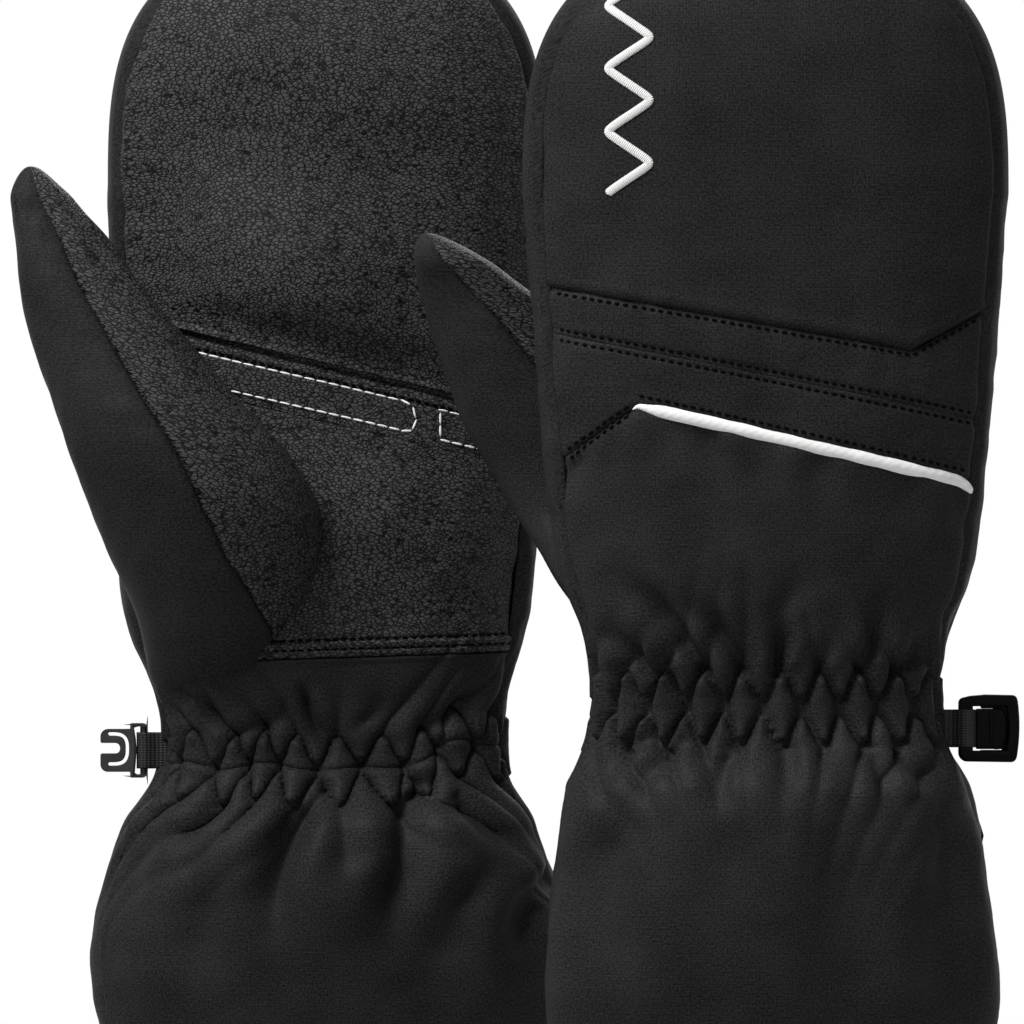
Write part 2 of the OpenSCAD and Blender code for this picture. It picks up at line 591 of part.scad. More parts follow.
// The hem is bound with a folded strip, twice as thick as the shell, and stands on its flat edge
module cuff_hem(m) {
    color(black_cloth) place(m)
        sleeve(cuff_stack(m, 0, hem_h, 1, 0), cuff_stack(m, 0, hem_h, 1, 2.4 * shell_t));
}
module cuff_lining(m) {
    d0 = shell_t + layer_gap;
    z0 = hem_h + seam_gap;
    z1 = gather_low(m) - seam_gap;
    color(inner_cloth) place(m)
        sleeve(cuff_stack(m, z0, z1, 4, d0), cuff_stack(m, z0, z1, 4, d0 + lining_t));
}

// ---- clips ----
// The webbing goes round the clip's bar and back into the wrist's side seam
clip_reach = 3.7;
function clip_z(m) = m[1] < 0 ? wrist_z(m) - right_clip_drop : wrist_z(m) - left_clip_drop;
function clip_side(m) = m[1] < 0 ? 1 : -1;
function bar_r(m) = m[1] < 0 ? frame_bar_r : hook_bar_r;
function clip_x(m) = mid_x(m, clip_z(m)) + clip_side(m)
    * (max([for (s = [-1, 1]) half_w(m, clip_z(m) + s * webbing_w / 2)]) + clip_reach);
module at_clip(m) {
    place(m) translate([clip_x(m), 0, clip_z(m)]) rotate([0, 0, clip_side(m) > 0 ? 0 : 180]) children();
}
module webbing_tab(m) {
    bore_r = bar_r(m) + bar_gap;
    r = bore_r + webbing_t;
    run = clip_reach - 0.3;
    color(black_cloth) at_clip(m) difference() {
        union() {
            cylinder(r = r, h = webbing_w, center = true);
            translate([-run, -r, -webbing_w / 2]) cube([run, 2 * r, webbing_w]);
        }
        cylinder(r = bore_r, h = webbing_w + 2, center = true);
        translate([-run + webbing_t, -0.25, -webbing_w / 2 - 1]) cube([run - webbing_t, 0.5, webbing_w + 2]);
    }
}
// Frame clip: a rim with a bar for the webbing and a sprung tongue from the far side
module frame_clip(m) {
    rim_l = 15.4;
    rim_w = frame_open + 2 * frame_rim;
    open_l = rim_l - frame_bar_r - 2.8;
    tongue_w = 10;
    web_r = frame_bar_r + bar_gap + webbing_t;
    tongue_start = web_r + 0.4;
    color(clip_black) at_clip(m) union() {
        difference() {
            translate([-frame_bar_r, -frame_t / 2, -rim_w / 2]) cube([rim_l, frame_t, rim_w]);
            translate([-frame_bar_r - 1, -frame_t, -frame_open / 2])
                cube([open_l + frame_bar_r + 1, 2 * frame_t, frame_open]);
            for (s = [-1, 1]) translate([rim_l - frame_bar_r, 0, s * rim_w / 2]) rotate([90, 0, 0])
                cylinder(r = 2.4, h = 2 * frame_t, center = true, $fn = 4);
        }
        cylinder(r = frame_bar_r, h = frame_open + frame_rim, center = true);
        translate([tongue_start, -frame_t / 2 + 0.4, -tongue_w / 2])
            cube([open_l - tongue_start + 1, 1.6, tongue_w]);
        translate([open_l - 3.2, -frame_t / 2 + 0.4, -tongue_w / 2]) cube([1.4, 2.6, tongue_w]);
    }
}
// Hook clip: a flat tongue with a springy U in its middle, a stop bar and a bar for the webbing
module hook_clip(m) {
    stop_w = hook_w + 3.2;
    stop_x = hook_bar_r + bar_gap + webbing_t + 0.3;
    body_x = stop_x + 1.6;
    body_l = 8.2;
    color(clip_black) at_clip(m) union() {
        difference() {
            union() {
                translate([stop_x, -hook_t / 2, -stop_w / 2]) cube([1.6, hook_t, stop_w]);
                translate([body_x - 0.1, -hook_t / 2 + 0.3, -hook_w / 2])
                    cube([body_l, hook_t - 0.6, hook_w]);
            }
            translate([body_x + 2.6, -hook_t, -0.95]) cube([body_l, 2 * hook_t, 1.9]);
            for (s = [-1, 1]) translate([body_x + 0.9, -hook_t, s * 4.6 - 0.5]) cube([4.9, 2 * hook_t, 1]);
            translate([body_x + 0.4, -hook_t, -5.1]) cube([1, 2 * hook_t, 10.2]);
        }
        for (s = [-1, 1]) translate([-hook_bar_r, -hook_t / 2, s * (stop_w / 2 - 0.6) - 0.6])
            cube([stop_x + hook_bar_r + 0.2, hook_t, 1.2]);
        cylinder(r = hook_bar_r, h = stop_w - 1, center = true);
    }
}

back_top_panel(left);  // left_back_top_panel
back_upper_band(left);  // left_back_upper_band
back_lower_band(left);  // left_back_lower_band
back_wrist_panel(left);  // left_back_wrist_panel
piping(left);  // left_piping
embroidery(left);  // left_embroidery
thumb_side_gusset(left);  // left_thumb_side_gusset
outer_side_gusset(left);  // left_outer_side_gusset
palm_upper_leather(left);  // left_palm_upper_leather
palm_grip_strip(left);  // left_palm_grip_strip
palm_lower_leather(left);  // left_palm_lower_leather
palm_hem_band(left);  // left_palm_hem_band
palm_wrist_panel(left);  // left_palm_wrist_panel
palm_stitching(left);  // left_palm_stitching
hand_back_insulation(left);  // left_hand_back_insulation
hand_palm_insulation(left);  // left_hand_palm_insulation
hand_lining(left);  // left_hand_lining
thumb_fabric_panel(left);  // left_thumb_fabric_panel
thumb_leather_panel(left);  // left_thumb_leather_panel
thumb_insulation(left);  // left_thumb_insulation
thumb_lining(left);  // left_thumb_lining
thumb_hood(left);  // left_thumb_root
wrist_gather(left);  // left_wrist_gather
wrist_elastic(left);  // left_wrist_elastic
cuff_shell(left);  // left_cuff_shell
cuff_hem(left);  // left_cuff_hem
cuff_lining(left);  // left_cuff_lining
webbing_tab(left);  // left_webbing_tab
hook_clip(left);  // left_hook_clip
back_top_panel(right);  // right_back_top_panel
back_upper_band(right);  // right_back_upper_band
back_lower_band(right);  // right_back_lower_band
back_wrist_panel(right);  // right_back_wrist_panel
piping(right);  // right_piping
embroidery(right);  // right_embroidery
thumb_side_gusset(right);  // right_thumb_side_gusset
outer_side_gusset(right);  // right_outer_side_gusset
palm_upper_leather(right);  // right_palm_upper_leather
palm_grip_strip(right);  // right_palm_grip_strip
palm_lower_leather(right);  // right_palm_lower_leather
palm_hem_band(right);  // right_palm_hem_band
palm_wrist_panel(right);  // right_palm_wrist_panel
palm_stitching(right);  // right_palm_stitching
hand_back_insulation(right);  // right_hand_back_insulation
hand_palm_insulation(right);  // right_hand_palm_insulation
hand_lining(right);  // right_hand_lining
thumb_fabric_panel(right);  // right_thumb_fabric_panel
thumb_leather_panel(right);  // right_thumb_leather_panel
thumb_insulation(right);  // right_thumb_insulation
thumb_lining(right);  // right_thumb_lining
thumb_hood(right);  // right_thumb_root
wrist_gather(right);  // right_wrist_gather
wrist_elastic(right);  // right_wrist_elastic
cuff_shell(right);  // right_cuff_shell
cuff_hem(right);  // right_cuff_hem
cuff_lining(right);  // right_cuff_lining
webbing_tab(right);  // right_webbing_tab
frame_clip(right);  // right_frame_clip
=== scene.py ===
import json
import math

import bmesh
import bpy
import numpy as np
from mathutils import Matrix, Vector


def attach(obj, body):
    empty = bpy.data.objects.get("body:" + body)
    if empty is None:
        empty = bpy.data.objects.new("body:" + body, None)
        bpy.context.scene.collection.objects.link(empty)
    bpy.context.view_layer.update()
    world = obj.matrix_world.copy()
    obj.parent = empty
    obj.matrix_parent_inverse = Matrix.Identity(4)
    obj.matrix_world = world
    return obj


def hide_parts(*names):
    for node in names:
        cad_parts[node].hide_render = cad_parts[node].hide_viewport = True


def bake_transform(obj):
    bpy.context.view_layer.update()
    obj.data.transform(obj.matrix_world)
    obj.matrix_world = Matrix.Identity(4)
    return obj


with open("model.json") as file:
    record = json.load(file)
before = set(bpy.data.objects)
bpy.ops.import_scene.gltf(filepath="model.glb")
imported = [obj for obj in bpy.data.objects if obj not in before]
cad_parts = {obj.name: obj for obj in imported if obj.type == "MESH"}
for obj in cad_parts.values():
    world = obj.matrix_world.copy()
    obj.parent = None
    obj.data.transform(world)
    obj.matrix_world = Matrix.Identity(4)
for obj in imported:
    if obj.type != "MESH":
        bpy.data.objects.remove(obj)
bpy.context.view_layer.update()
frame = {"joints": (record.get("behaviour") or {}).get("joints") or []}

# ---- studio: camera, lights and floor ----
# A long lens far in front of the pair, level with the middle of the right mitten.
# The floor is a pale disc that keeps the pair's shadow and fades into a white surround.
JOINTS = {joint["name"]: joint for joint in frame["joints"]}
right_wrist = Vector(JOINTS["right_wrist_flex"]["pos_m"])
LENS_DISTANCE = 3.0
LENS_HEIGHT = 0.1557
LENS_ACROSS = -0.0002
FOCAL_LENGTH, SENSOR_WIDTH = 398.95, 36.0

lens = bpy.data.cameras.new("long_lens")
lens.sensor_width = SENSOR_WIDTH
lens.lens = FOCAL_LENGTH
lens.clip_end = 60.0
camera = bpy.data.objects.new("camera", lens)
camera.location = (LENS_ACROSS, right_wrist.y - LENS_DISTANCE, LENS_HEIGHT)
camera.rotation_euler = (math.radians(90), 0, 0)
bpy.context.scene.collection.objects.link(camera)
bpy.context.scene.camera = camera
bpy.context.scene.view_settings.view_transform = "Standard"


def linear(hex_colour):
    """The linear RGBA of an sRGB hex value such as 1A1B1D."""
    parts = [int(hex_colour[i:i + 2], 16) / 255 for i in (0, 2, 4)]
    return (*[p / 12.92 if p <= 0.04045 else ((p + 0.055) / 1.055) ** 2.4 for p in parts], 1.0)


def node(material, kind, settings=None, **links):
    """Adds a shader node. settings are its properties, links its inputs: a value or an output."""
    made = material.node_tree.nodes.new("ShaderNode" + kind)
    for key, value in (settings or {}).items():
        setattr(made, key, value)
    for key, value in links.items():
        socket = made.inputs[int(key[1:])] if key[1:].isdigit() else made.inputs[key.replace("_", " ")]
        if isinstance(value, bpy.types.NodeSocket):
            material.node_tree.links.new(value, socket)
        else:
            socket.default_value = value
    return made


def new_material(name):
    """A material with an empty tree and its output node."""
    material = bpy.data.materials.new(name)
    material.use_nodes = True
    material.node_tree.nodes.clear()
    return material, material.node_tree.nodes.new("ShaderNodeOutputMaterial")


def softbox(name, place, aim, width, height, watts):
    """A rectangular area lamp that faces a point."""
    lamp = bpy.data.lights.new(name, "AREA")
    lamp.shape = "RECTANGLE"
    lamp.size = width
    lamp.size_y = height
    lamp.energy = watts
    holder = bpy.data.objects.new(name, lamp)
    holder.location = place
    holder.rotation_euler = (Vector(aim) - Vector(place)).to_track_quat("-Z", "Y").to_euler()
    bpy.context.scene.collection.objects.link(holder)


middle = (0.0, 0.0, 0.16)
softbox("key_from_upper_left", (-0.7, -0.6, 1.4), middle, 0.6, 0.6, 35)
softbox("fill_from_right", (1.4, -0.9, 0.7), middle, 0.6, 1.0, 2.4)
softbox("back_light", (0.3, 1.2, 1.2), middle, 1.0, 0.8, 13)

surround = bpy.data.worlds.new("white_surround")
bpy.context.scene.world = surround
surround.use_nodes = True
surround.node_tree.nodes.clear()
seen = node(surround, "LightPath")
seen_or_mirrored = node(surround, "Math", {"operation": "MAXIMUM"},
                        _0=seen.outputs["Is Camera Ray"], _1=seen.outputs["Is Glossy Ray"])
seen_at_all = node(surround, "Math", {"operation": "MAXIMUM"},
                   _0=seen_or_mirrored.outputs[0], _1=seen.outputs["Is Transmission Ray"])
fill_light = node(surround, "Background", Color=(1, 1, 1, 1), Strength=0.045)
white = node(surround, "Background", Color=(1, 1, 1, 1), Strength=1.0)
seen_white = node(surround, "MixShader", Fac=seen_at_all.outputs[0],
                  _1=fill_light.outputs[0], _2=white.outputs[0])
surround_out = surround.node_tree.nodes.new("ShaderNodeOutputWorld")
surround.node_tree.links.new(seen_white.outputs[0], surround_out.inputs[0])

FLOOR_RADIUS = 1.2
floor_bm = bmesh.new()
bmesh.ops.create_circle(floor_bm, cap_ends=True, radius=FLOOR_RADIUS, segments=96)
floor_mesh = bpy.data.meshes.new("floor")
floor_bm.to_mesh(floor_mesh)
floor_bm.free()
floor = bpy.data.objects.new("floor", floor_mesh)
bpy.context.scene.collection.objects.link(floor)
paper, paper_out = new_material("matt_white_paper")
paper_place = node(paper, "TexCoord")
paper_reach = node(paper, "VectorMath", {"operation": "LENGTH"}, _0=paper_place.outputs["Object"])
# The paper is lit up to the first reach from the pair's middle and plain white from the second, in m
PAPER_LIT, PAPER_WHITE = 0.22, 0.34
paper_fade = node(paper, "MapRange", {"interpolation_type": "SMOOTHSTEP"},
                  Value=paper_reach.outputs["Value"], From_Min=PAPER_LIT, From_Max=PAPER_WHITE)
paper_seen = node(paper, "LightPath")
paper_white = node(paper, "Math", {"operation": "MULTIPLY"},
                   _0=paper_fade.outputs[0], _1=paper_seen.outputs["Is Camera Ray"])
paper_lit = node(paper, "BsdfDiffuse", Color=(0.6, 0.6, 0.6, 1))
paper_glow = node(paper, "Emission", Color=(1, 1, 1, 1), Strength=1.0)
paper_mix = node(paper, "MixShader", Fac=paper_white.outputs[0],
                 _1=paper_lit.outputs[0], _2=paper_glow.outputs[0])
paper.node_tree.links.new(paper_mix.outputs[0], paper_out.inputs[0])
floor_mesh.materials.append(paper)

# ---- shell cloth: gauntlet, gathered wrist and the panels next to them ----
# The real shell is plain-woven polyester, cut in panels and sewn. Elastic on the inside draws
# the wrist in to a row of diamond-shaped puffs, and folds fan out from it up and down.
MM = 0.001
# Top height and half widths of each mitten in mm, the seed of its unevenness, the side that its
# clip is on, and how far its padding billows over the gauntlet. turn is -1 for the mitten whose
# palm faces the front.
MITTENS = {
    "right": {
        "turn": 1, "top_z": 307, "hand_w": 63.5, "heel_w": 55, "wrist_w": 46.5,
        "flare_w": 52, "cuff_w": 60.5, "hem_w": 57.5, "seed": 3, "clip_side": 1, "billow": 6.4,
    },
    "left": {
        "turn": -1, "top_z": 313, "hand_w": 60, "heel_w": 56, "wrist_w": 48,
        "flare_w": 55.5, "cuff_w": 65.5, "hem_w": 62, "seed": 11, "clip_side": -1, "billow": 4.8,
    },
}
# Half depths of both mittens, and heights that part their stretches
HAND_D, HEEL_D, WRIST_D, FLARE_D, CUFF_D, HEM_D = 22, 24, 21, 28, 33, 31
BULGE_Z, FLARE_DROP, GATHER_H, HEEL_RISE, TIP_H, CUFF_SHIFT = 34, 23, 12, 40, 67, 1.5
# Roundness of the finger end's outline and of a section, and the angle that half a gusset fills
OUTLINE_N, SECTION_N, GUSSET_ANGLE = 2.9, 2.3, 19
SHELL_T = 0.9
# How far the cloth stands out over the smooth form, and the two faces as signs of depth
LOFT = 0.8
BACK, PALM = -1, 1

for side, m in MITTENS.items():
    wrist = JOINTS[side + "_wrist_flex"]["pos_m"]
    m["side"] = side
    m["x"] = wrist[0] / MM - CUFF_SHIFT
    m["y"] = wrist[1] / MM
    m["wrist_z"] = wrist[2] / MM
    m["tip_z"] = m["top_z"] - TIP_H
    m["gather_low"] = m["wrist_z"] - GATHER_H
    m["gather_top"] = m["wrist_z"] + GATHER_H
    m["heights"] = [0, BULGE_Z, m["wrist_z"] - FLARE_DROP, m["gather_low"] + 4, m["gather_top"],
                    m["wrist_z"] + HEEL_RISE, m["tip_z"]]
    m["widths"] = [m["hem_w"], m["cuff_w"], m["flare_w"], m["wrist_w"] + 0.5, m["wrist_w"],
                   m["heel_w"], m["hand_w"]]
    m["depths"] = [HEM_D, CUFF_D, FLARE_D, WRIST_D + 0.5, WRIST_D, HEEL_D, HAND_D]


def through(at, places, values):
    """A smooth curve through stations, the same as the hand's construction uses."""
    x, v = np.array(places, float), np.array(values, float)
    ends = len(x) - 1
    slope = np.array([(v[min(i + 1, ends)] - v[max(i - 1, 0)]) / (x[min(i + 1, ends)] - x[max(i - 1, 0)])
                      for i in range(len(x))])
    at = np.asarray(at, float)
    i = np.clip(np.searchsorted(x, at, side="right") - 1, 0, ends - 1)
    h = x[i + 1] - x[i]
    t = np.clip((at - x[i]) / h, 0, 1)
    back = 1 - t
    return (back * back * (1 + 2 * t) * v[i] + t * t * (1 + 2 * back) * v[i + 1]
            + h * t * back * (back * slope[i] - t * slope[i + 1]))


def ease(t):
    """A soft step from 0 to 1."""
    t = np.clip(t, 0, 1)
    return t * t * (3 - 2 * t)


def signed_power(v, e):
    return np.sign(v) * np.abs(v) ** e


def around(degrees):
    """Shares of half width and half depth at an angle of a section, 0 at +X and 90 at the palm."""
    a = np.radians(degrees)
    return signed_power(np.cos(a), 2 / SECTION_N), signed_power(np.sin(a), 2 / SECTION_N)


EDGE_SHARE, EDGE_DEEP = (float(share) for share in around(GUSSET_ANGLE))


def half_width(m, z):
    return through(np.minimum(z, m["tip_z"]), m["heights"], m["widths"])


def half_depth(m, z):
    return through(np.minimum(z, m["tip_z"]), m["heights"], m["depths"])


def centre_x(m, z):
    return CUFF_SHIFT * (1 - ease((z - m["wrist_z"]) / HEEL_RISE))


def band_skin(m, degrees, z, sink):
    """Points of a closed section of the wrist or gauntlet, sink mm deep."""
    across, deep = around(degrees)
    return np.stack([centre_x(m, z) + (half_width(m, z) - sink) * across,
                     (half_depth(m, z) - sink) * deep, z], -1)


def hand_skin(m, f, z, face, sink):
    """Points of the hand: f across from -1 at the thumb side, face BACK or PALM, sink mm deep."""
    t = np.maximum(0, (z - m["tip_z"]) / TIP_H)
    rho = np.minimum((np.abs(f) ** OUTLINE_N + t ** OUTLINE_N) ** (1 / OUTLINE_N), 1)
    swell = (1 - rho ** SECTION_N) ** (1 / SECTION_N)
    x = centre_x(m, z) + f * (half_width(m, z) - sink)
    y = face * (half_depth(m, z) - sink) * swell
    return np.stack([x, y, np.where(t > 0, m["tip_z"] + t * (TIP_H - sink), z)], -1)


def reach(m, z, share=EDGE_SHARE):
    """How far across a panel reaches at height z, up to the seam of the side gusset."""
    t = np.clip((z - m["tip_z"]) / TIP_H, 0, share)
    return (share ** OUTLINE_N - t ** OUTLINE_N) ** (1 / OUTLINE_N)


def soft_waves(x, z, length, seed, count=9):
    """A smooth uneven field of about -1 to 1, made of plane waves of about one length in mm."""
    draw = np.random.default_rng(seed)
    total = np.zeros_like(np.asarray(x, float) + np.asarray(z, float))
    for _ in range(count):
        heading = draw.uniform(0, 2 * math.pi)
        pitch = length * draw.uniform(0.7, 1.6)
        phase = draw.uniform(0, 2 * math.pi)
        total += np.sin(2 * math.pi * (x * math.cos(heading) + z * math.sin(heading)) / pitch + phase)
    return total / math.sqrt(count / 2) * 0.7


# Folds of the shell, as (x, height over the wrist) of both ends, depth and half width in mm
BACK_FOLDS = [
    ((-18, 9), (-45, 37), 3.8, 2.8), ((-8, 9), (-26, 31), 3.2, 2.6), ((1, 9), (2, 26), 3.2, 2.0),
    ((2, 24), (8, 38), 1.3, 3.0), ((12, 9), (15, 22), 1.6, 1.8), ((24, 10), (28, 32), 3.0, 2.2),
    ((33, 9), (44, 23), 2.8, 2.2), ((-32, 8), (-46, 22), 2.6, 2.2), ((-11, -12), (-12, -31), 3.0, 3.0),
    ((-32, -8), (-47, -27), 2.2, 2.8), ((-24, -10), (-37, -29), 2.2, 2.8), ((26, -12), (34, -30), 2.2, 2.8),
    ((32, -11), (49, -25), 2.2, 2.6), ((5, -12), (7, -28), 2.0, 2.8), ((-40, -34), (-52, -62), 2.6, 7.0),
    ((14, -30), (22, -66), 1.5, 8.0), ((44, -36), (54, -60), 1.6, 6.0),
]
PALM_FOLDS = [
    ((-7, 15), (3, -5), 3.2, 2.4), ((-34, 14), (-28, 3), 2.6, 2.4), ((25, 5), (42, 18), 2.0, 3.2),
    ((-26, 3), (-7, 13), 1.6, 2.4), ((8, 5), (17, 17), 1.8, 3.0), ((-3, -14), (-16, -60), 6.6, 4.4),
    ((24, -12), (19, -34), 5.2, 4.0), ((19, -30), (20, -64), 5.4, 6.0), ((33, -15), (53, -30), 2.8, 3.0),
    ((-28, -16), (-41, -34), 3.0, 3.6), ((62, -34), (47, -62), 3.8, 4.4), ((4, -18), (8, -46), 1.4, 4.0),
    ((-46, -22), (-55, -52), 2.4, 5.0), ((38, -36), (30, -70), 2.6, 6.0),
    ((-30, -40), (-34, -74), 2.2, 6.0),
]


def fold_depth(folds, x, dz):
    """How deep the folds of a face cut in, with a low ridge on both sides of each."""
    total = np.zeros_like(x)
    for (x0, z0), (x1, z1), depth, width in folds:
        length = math.hypot(x1 - x0, z1 - z0)
        ux, uz = (x1 - x0) / length, (z1 - z0) / length
        t = np.clip(((x - x0) * ux + (dz - z0) * uz) / length, 0, 1)
        bend = 0.09 * length * np.sin(math.pi * t)
        off = np.hypot(x - x0 - ux * t * length - bend * uz, dz - z0 - uz * t * length + bend * ux)
        fade = (0.55 + 0.45 * ease(t / 0.15)) * (1 - ease((t - 0.35) / 0.65))
        spread = width * (0.7 + 0.8 * t)
        total += depth * fade * (np.exp(-(off / spread) ** 2)
                                 - 0.35 * np.exp(-((off - 2.1 * spread) / (1.3 * spread)) ** 2))
    return total


# Puffs of the gathered wrist: arc from one to the next, and heights of a puff's top, shoulders
# and bottom from the middle of the gather
PUFF_PITCH = 10.6
PUFF_TOP, PUFF_HIGH, PUFF_LOW, PUFF_BOTTOM = 9.7, 0.6, -1.6, -11.2
PUFF_DEPTH = 3.6
# Reach of the creases over and under a puff, the shortest and the longest
CREASE_SHORT, CREASE_LONG = ((4,), (6.5,)), ((10,), (15,))
# Sag of the gather at the thumb's side of the palm
GATHER_SAG = 6.5


def gather_line(m, degrees):
    """Height of the middle of the gather over the wrist. It sags on the thumb's side of the palm."""
    a = np.radians(degrees)
    return -GATHER_SAG * ease((np.sin(a) + 0.2) / 0.6) * (1 - ease((np.cos(a) * m["wrist_w"] - 8) / 30))


def arc_length(m, degrees):
    """Arc from the outer side line to an angle of the wrist's section, and the whole girth."""
    steps = np.linspace(0, 360, 721)
    ring = band_skin(m, steps, np.full_like(steps, m["wrist_z"]), 0.0)
    arcs = np.concatenate([[0], np.cumsum(np.linalg.norm(np.diff(ring, axis=0), axis=1))])
    return np.interp(np.mod(degrees, 360), steps, arcs), arcs[-1]


def gather_depth(m, degrees, z):
    """How deep the gathered wrist lies below the tops of its puffs."""
    a = np.radians(degrees)
    arc, girth = arc_length(m, degrees)
    count = round(girth / PUFF_PITCH)
    pitch = girth / count
    dz = z - m["wrist_z"] - gather_line(m, degrees)
    palm_share = ease((np.sin(a) + 0.1) / 0.5)
    arc = arc + (0.5 + 1.5 * palm_share) * soft_waves(30 * np.cos(a), 30 * np.sin(a), 21, m["seed"] + 5)
    dz = dz + (0.3 + 1.3 * palm_share) * soft_waves(30 * np.cos(a), 30 * np.sin(a) + 90, 17, m["seed"] + 6)
    over = np.maximum(dz - PUFF_TOP, 0)
    under = np.maximum(PUFF_BOTTOM - dz, 0)
    lean = 1.1 * np.sin(2 * a) * np.sign(np.sin(a))
    cell = (arc + lean * (over + under) * 0.9) / pitch
    q = np.abs(cell - np.round(cell))
    draw = np.random.default_rng(m["seed"] + 7)
    run = draw.uniform(CREASE_SHORT, CREASE_LONG, (2, count))
    last, share = np.floor(cell).astype(int), ease(cell - np.floor(cell))
    run = run[:, last % count] * (1 - share) + run[:, (last + 1) % count] * share
    wide = 0.5 * np.clip(np.minimum((PUFF_TOP - dz) / (PUFF_TOP - PUFF_HIGH),
                                    (dz - PUFF_BOTTOM) / (PUFF_LOW - PUFF_BOTTOM)), 0, 0.97)
    inside = q < wide
    room = np.where(inside, wide, 0.5 - wide)
    r = np.clip(np.where(inside, q, 0.5 - q) / np.maximum(room, 1e-4), 0, 1)
    puff = np.clip(1 - (r / 0.88) ** 2, 0, 1) ** 0.65 * np.minimum(1, room / 0.16)
    fade = np.exp(-over / run[0]) * np.exp(-under / run[1])
    thread = 0.9 * palm_share * np.exp(-(dz / 0.9) ** 2)
    return PUFF_DEPTH * (1 - puff) * fade + thread


# From the wrist down to where the gauntlet's padding stands out most, and how far it reaches
# over and under that place
BILLOW_DROP, BILLOW_UP, BILLOW_DOWN = 30, 14, 32
# Height and length of the swells and ripples of loose cloth, depth of the flare's pleats, and
# how far the hem is drawn in
CLOTH_SWELL, CLOTH_RIPPLE, FINE_RIPPLE = (0.9, 52), (0.16, 15), (0.05, 6)
PLEAT_DEPTH, HEM_DRAW = 1.5, 1.8
# Dent of the cloth where the clip swings: depth, height and half height beside the wrist
CLIP_DENT, CLIP_DENT_Z, CLIP_DENT_TALL = 1.5, -5, 15


def wrinkles(m, degrees, z):
    """How deep gather, folds and the soft unevenness of the shell lie at an angle and height."""
    a = np.radians(degrees)
    x = half_width(m, z) * around(degrees)[0]
    dz = z - m["wrist_z"]
    palm_share, back_share = ease(np.sin(a) / 0.35), ease(-np.sin(a) / 0.35)
    folds = palm_share * fold_depth(PALM_FOLDS, x, dz) + back_share * fold_depth(BACK_FOLDS, x, dz)
    flare = ease(-(dz + 14) / 30) * ease(z / 40)
    pleats = 0.5 + 0.5 * np.sin(10 * a + 1.6 * np.sin(2 * a + m["seed"]) - 0.02 * dz)
    side_x, side_y = 42 * np.cos(a), 42 * np.sin(a)
    high, length = CLOTH_SWELL
    swell = high * soft_waves(side_x + 0.3 * side_y, z + side_y, length, m["seed"]) * ease((40 - dz) / 30)
    (high, length), (fine_high, fine_length) = CLOTH_RIPPLE, FINE_RIPPLE
    ripple = high * soft_waves(side_x - side_y, z, length, m["seed"] + 1) + fine_high * soft_waves(
        side_x + side_y, z, fine_length, m["seed"] + 2)
    from_crest = dz + BILLOW_DROP
    billow = m["billow"] * np.exp(-(from_crest / np.where(from_crest > 0, BILLOW_UP, BILLOW_DOWN)) ** 2) * (
        0.2 + 0.6 * np.abs(np.sin(a)) + 0.2 * np.sin(a - 0.6)) - HEM_DRAW * ease((40 - z) / 40)
    clip_height = (dz - CLIP_DENT_Z) / CLIP_DENT_TALL
    clip_room = CLIP_DENT * np.exp(-((np.abs(np.sin(a)) - 0.22) / 0.25) ** 2 - clip_height ** 4) * (
        m["clip_side"] * np.cos(a) > 0)
    return (gather_depth(m, degrees, z) + folds + PLEAT_DEPTH * flare * pleats + clip_room
            - swell - ripple - billow - LOFT)


def stand(m, points):
    """Takes points of a mitten from millimetres to its place in the frame, in metres."""
    return (points * [1, m["turn"], 1] + [m["x"], m["y"], 0]) * MM


def new_piece(name, bm, material, thick=0.0):
    """A smooth object from a bmesh, with a wall thick mm inwards."""
    mesh = bpy.data.meshes.new(name)
    bm.to_mesh(mesh)
    bm.free()
    mesh.polygons.foreach_set("use_smooth", [True] * len(mesh.polygons))
    mesh.materials.append(material)
    piece = bpy.data.objects.new(mesh.name, mesh)
    bpy.context.scene.collection.objects.link(piece)
    if thick:
        wall = piece.modifiers.new("cloth_thickness", "SOLIDIFY")
        wall.thickness = thick * MM
        wall.offset = -1
    return piece


def drape(m, name, patches, material, thick=SHELL_T, weld=False):
    """Cloth laid on a form. Each patch is (columns, rows, shape), and shape(u, v) gives points
    and the cloth's own flat coordinates in mm, for u and v from 0 to 1."""
    whole = bmesh.new()
    grain = whole.loops.layers.uv.new("cloth")
    for columns, rows, shape in patches:
        first = len(whole.verts)
        bmesh.ops.create_grid(whole, x_segments=columns, y_segments=rows, size=0.5)
        whole.verts.ensure_lookup_table()
        patch = whole.verts[first:]
        flat = np.array([v.co[:2] for v in patch]) + 0.5
        points, cloth = shape(flat[:, 0], flat[:, 1])
        cloth = cloth * MM
        for vert, place in zip(patch, stand(m, points)):
            vert.co = place
        whole.verts.index_update()
        for face in {face for vert in patch for face in vert.link_faces}:
            for loop in face.loops:
                loop[grain].uv = cloth[loop.vert.index - first]
    if weld:
        bmesh.ops.remove_doubles(whole, verts=whole.verts, dist=4e-6)
    whole.normal_update()
    centre = sum((v.co for v in whole.verts), Vector()) / len(whole.verts)
    outward = sum(f.normal.dot(Vector(((f.calc_center_median() - centre).xy.to_tuple() + (0,))))
                  * f.calc_area() for f in whole.faces)
    if outward < 0:
        bmesh.ops.reverse_faces(whole, faces=whole.faces)
    return new_piece(m["side"] + "_" + name, whole, material, thick)


def blend_wrist(piece):
    """Bakes a piece's place in the frame into its mesh."""
    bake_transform(piece)


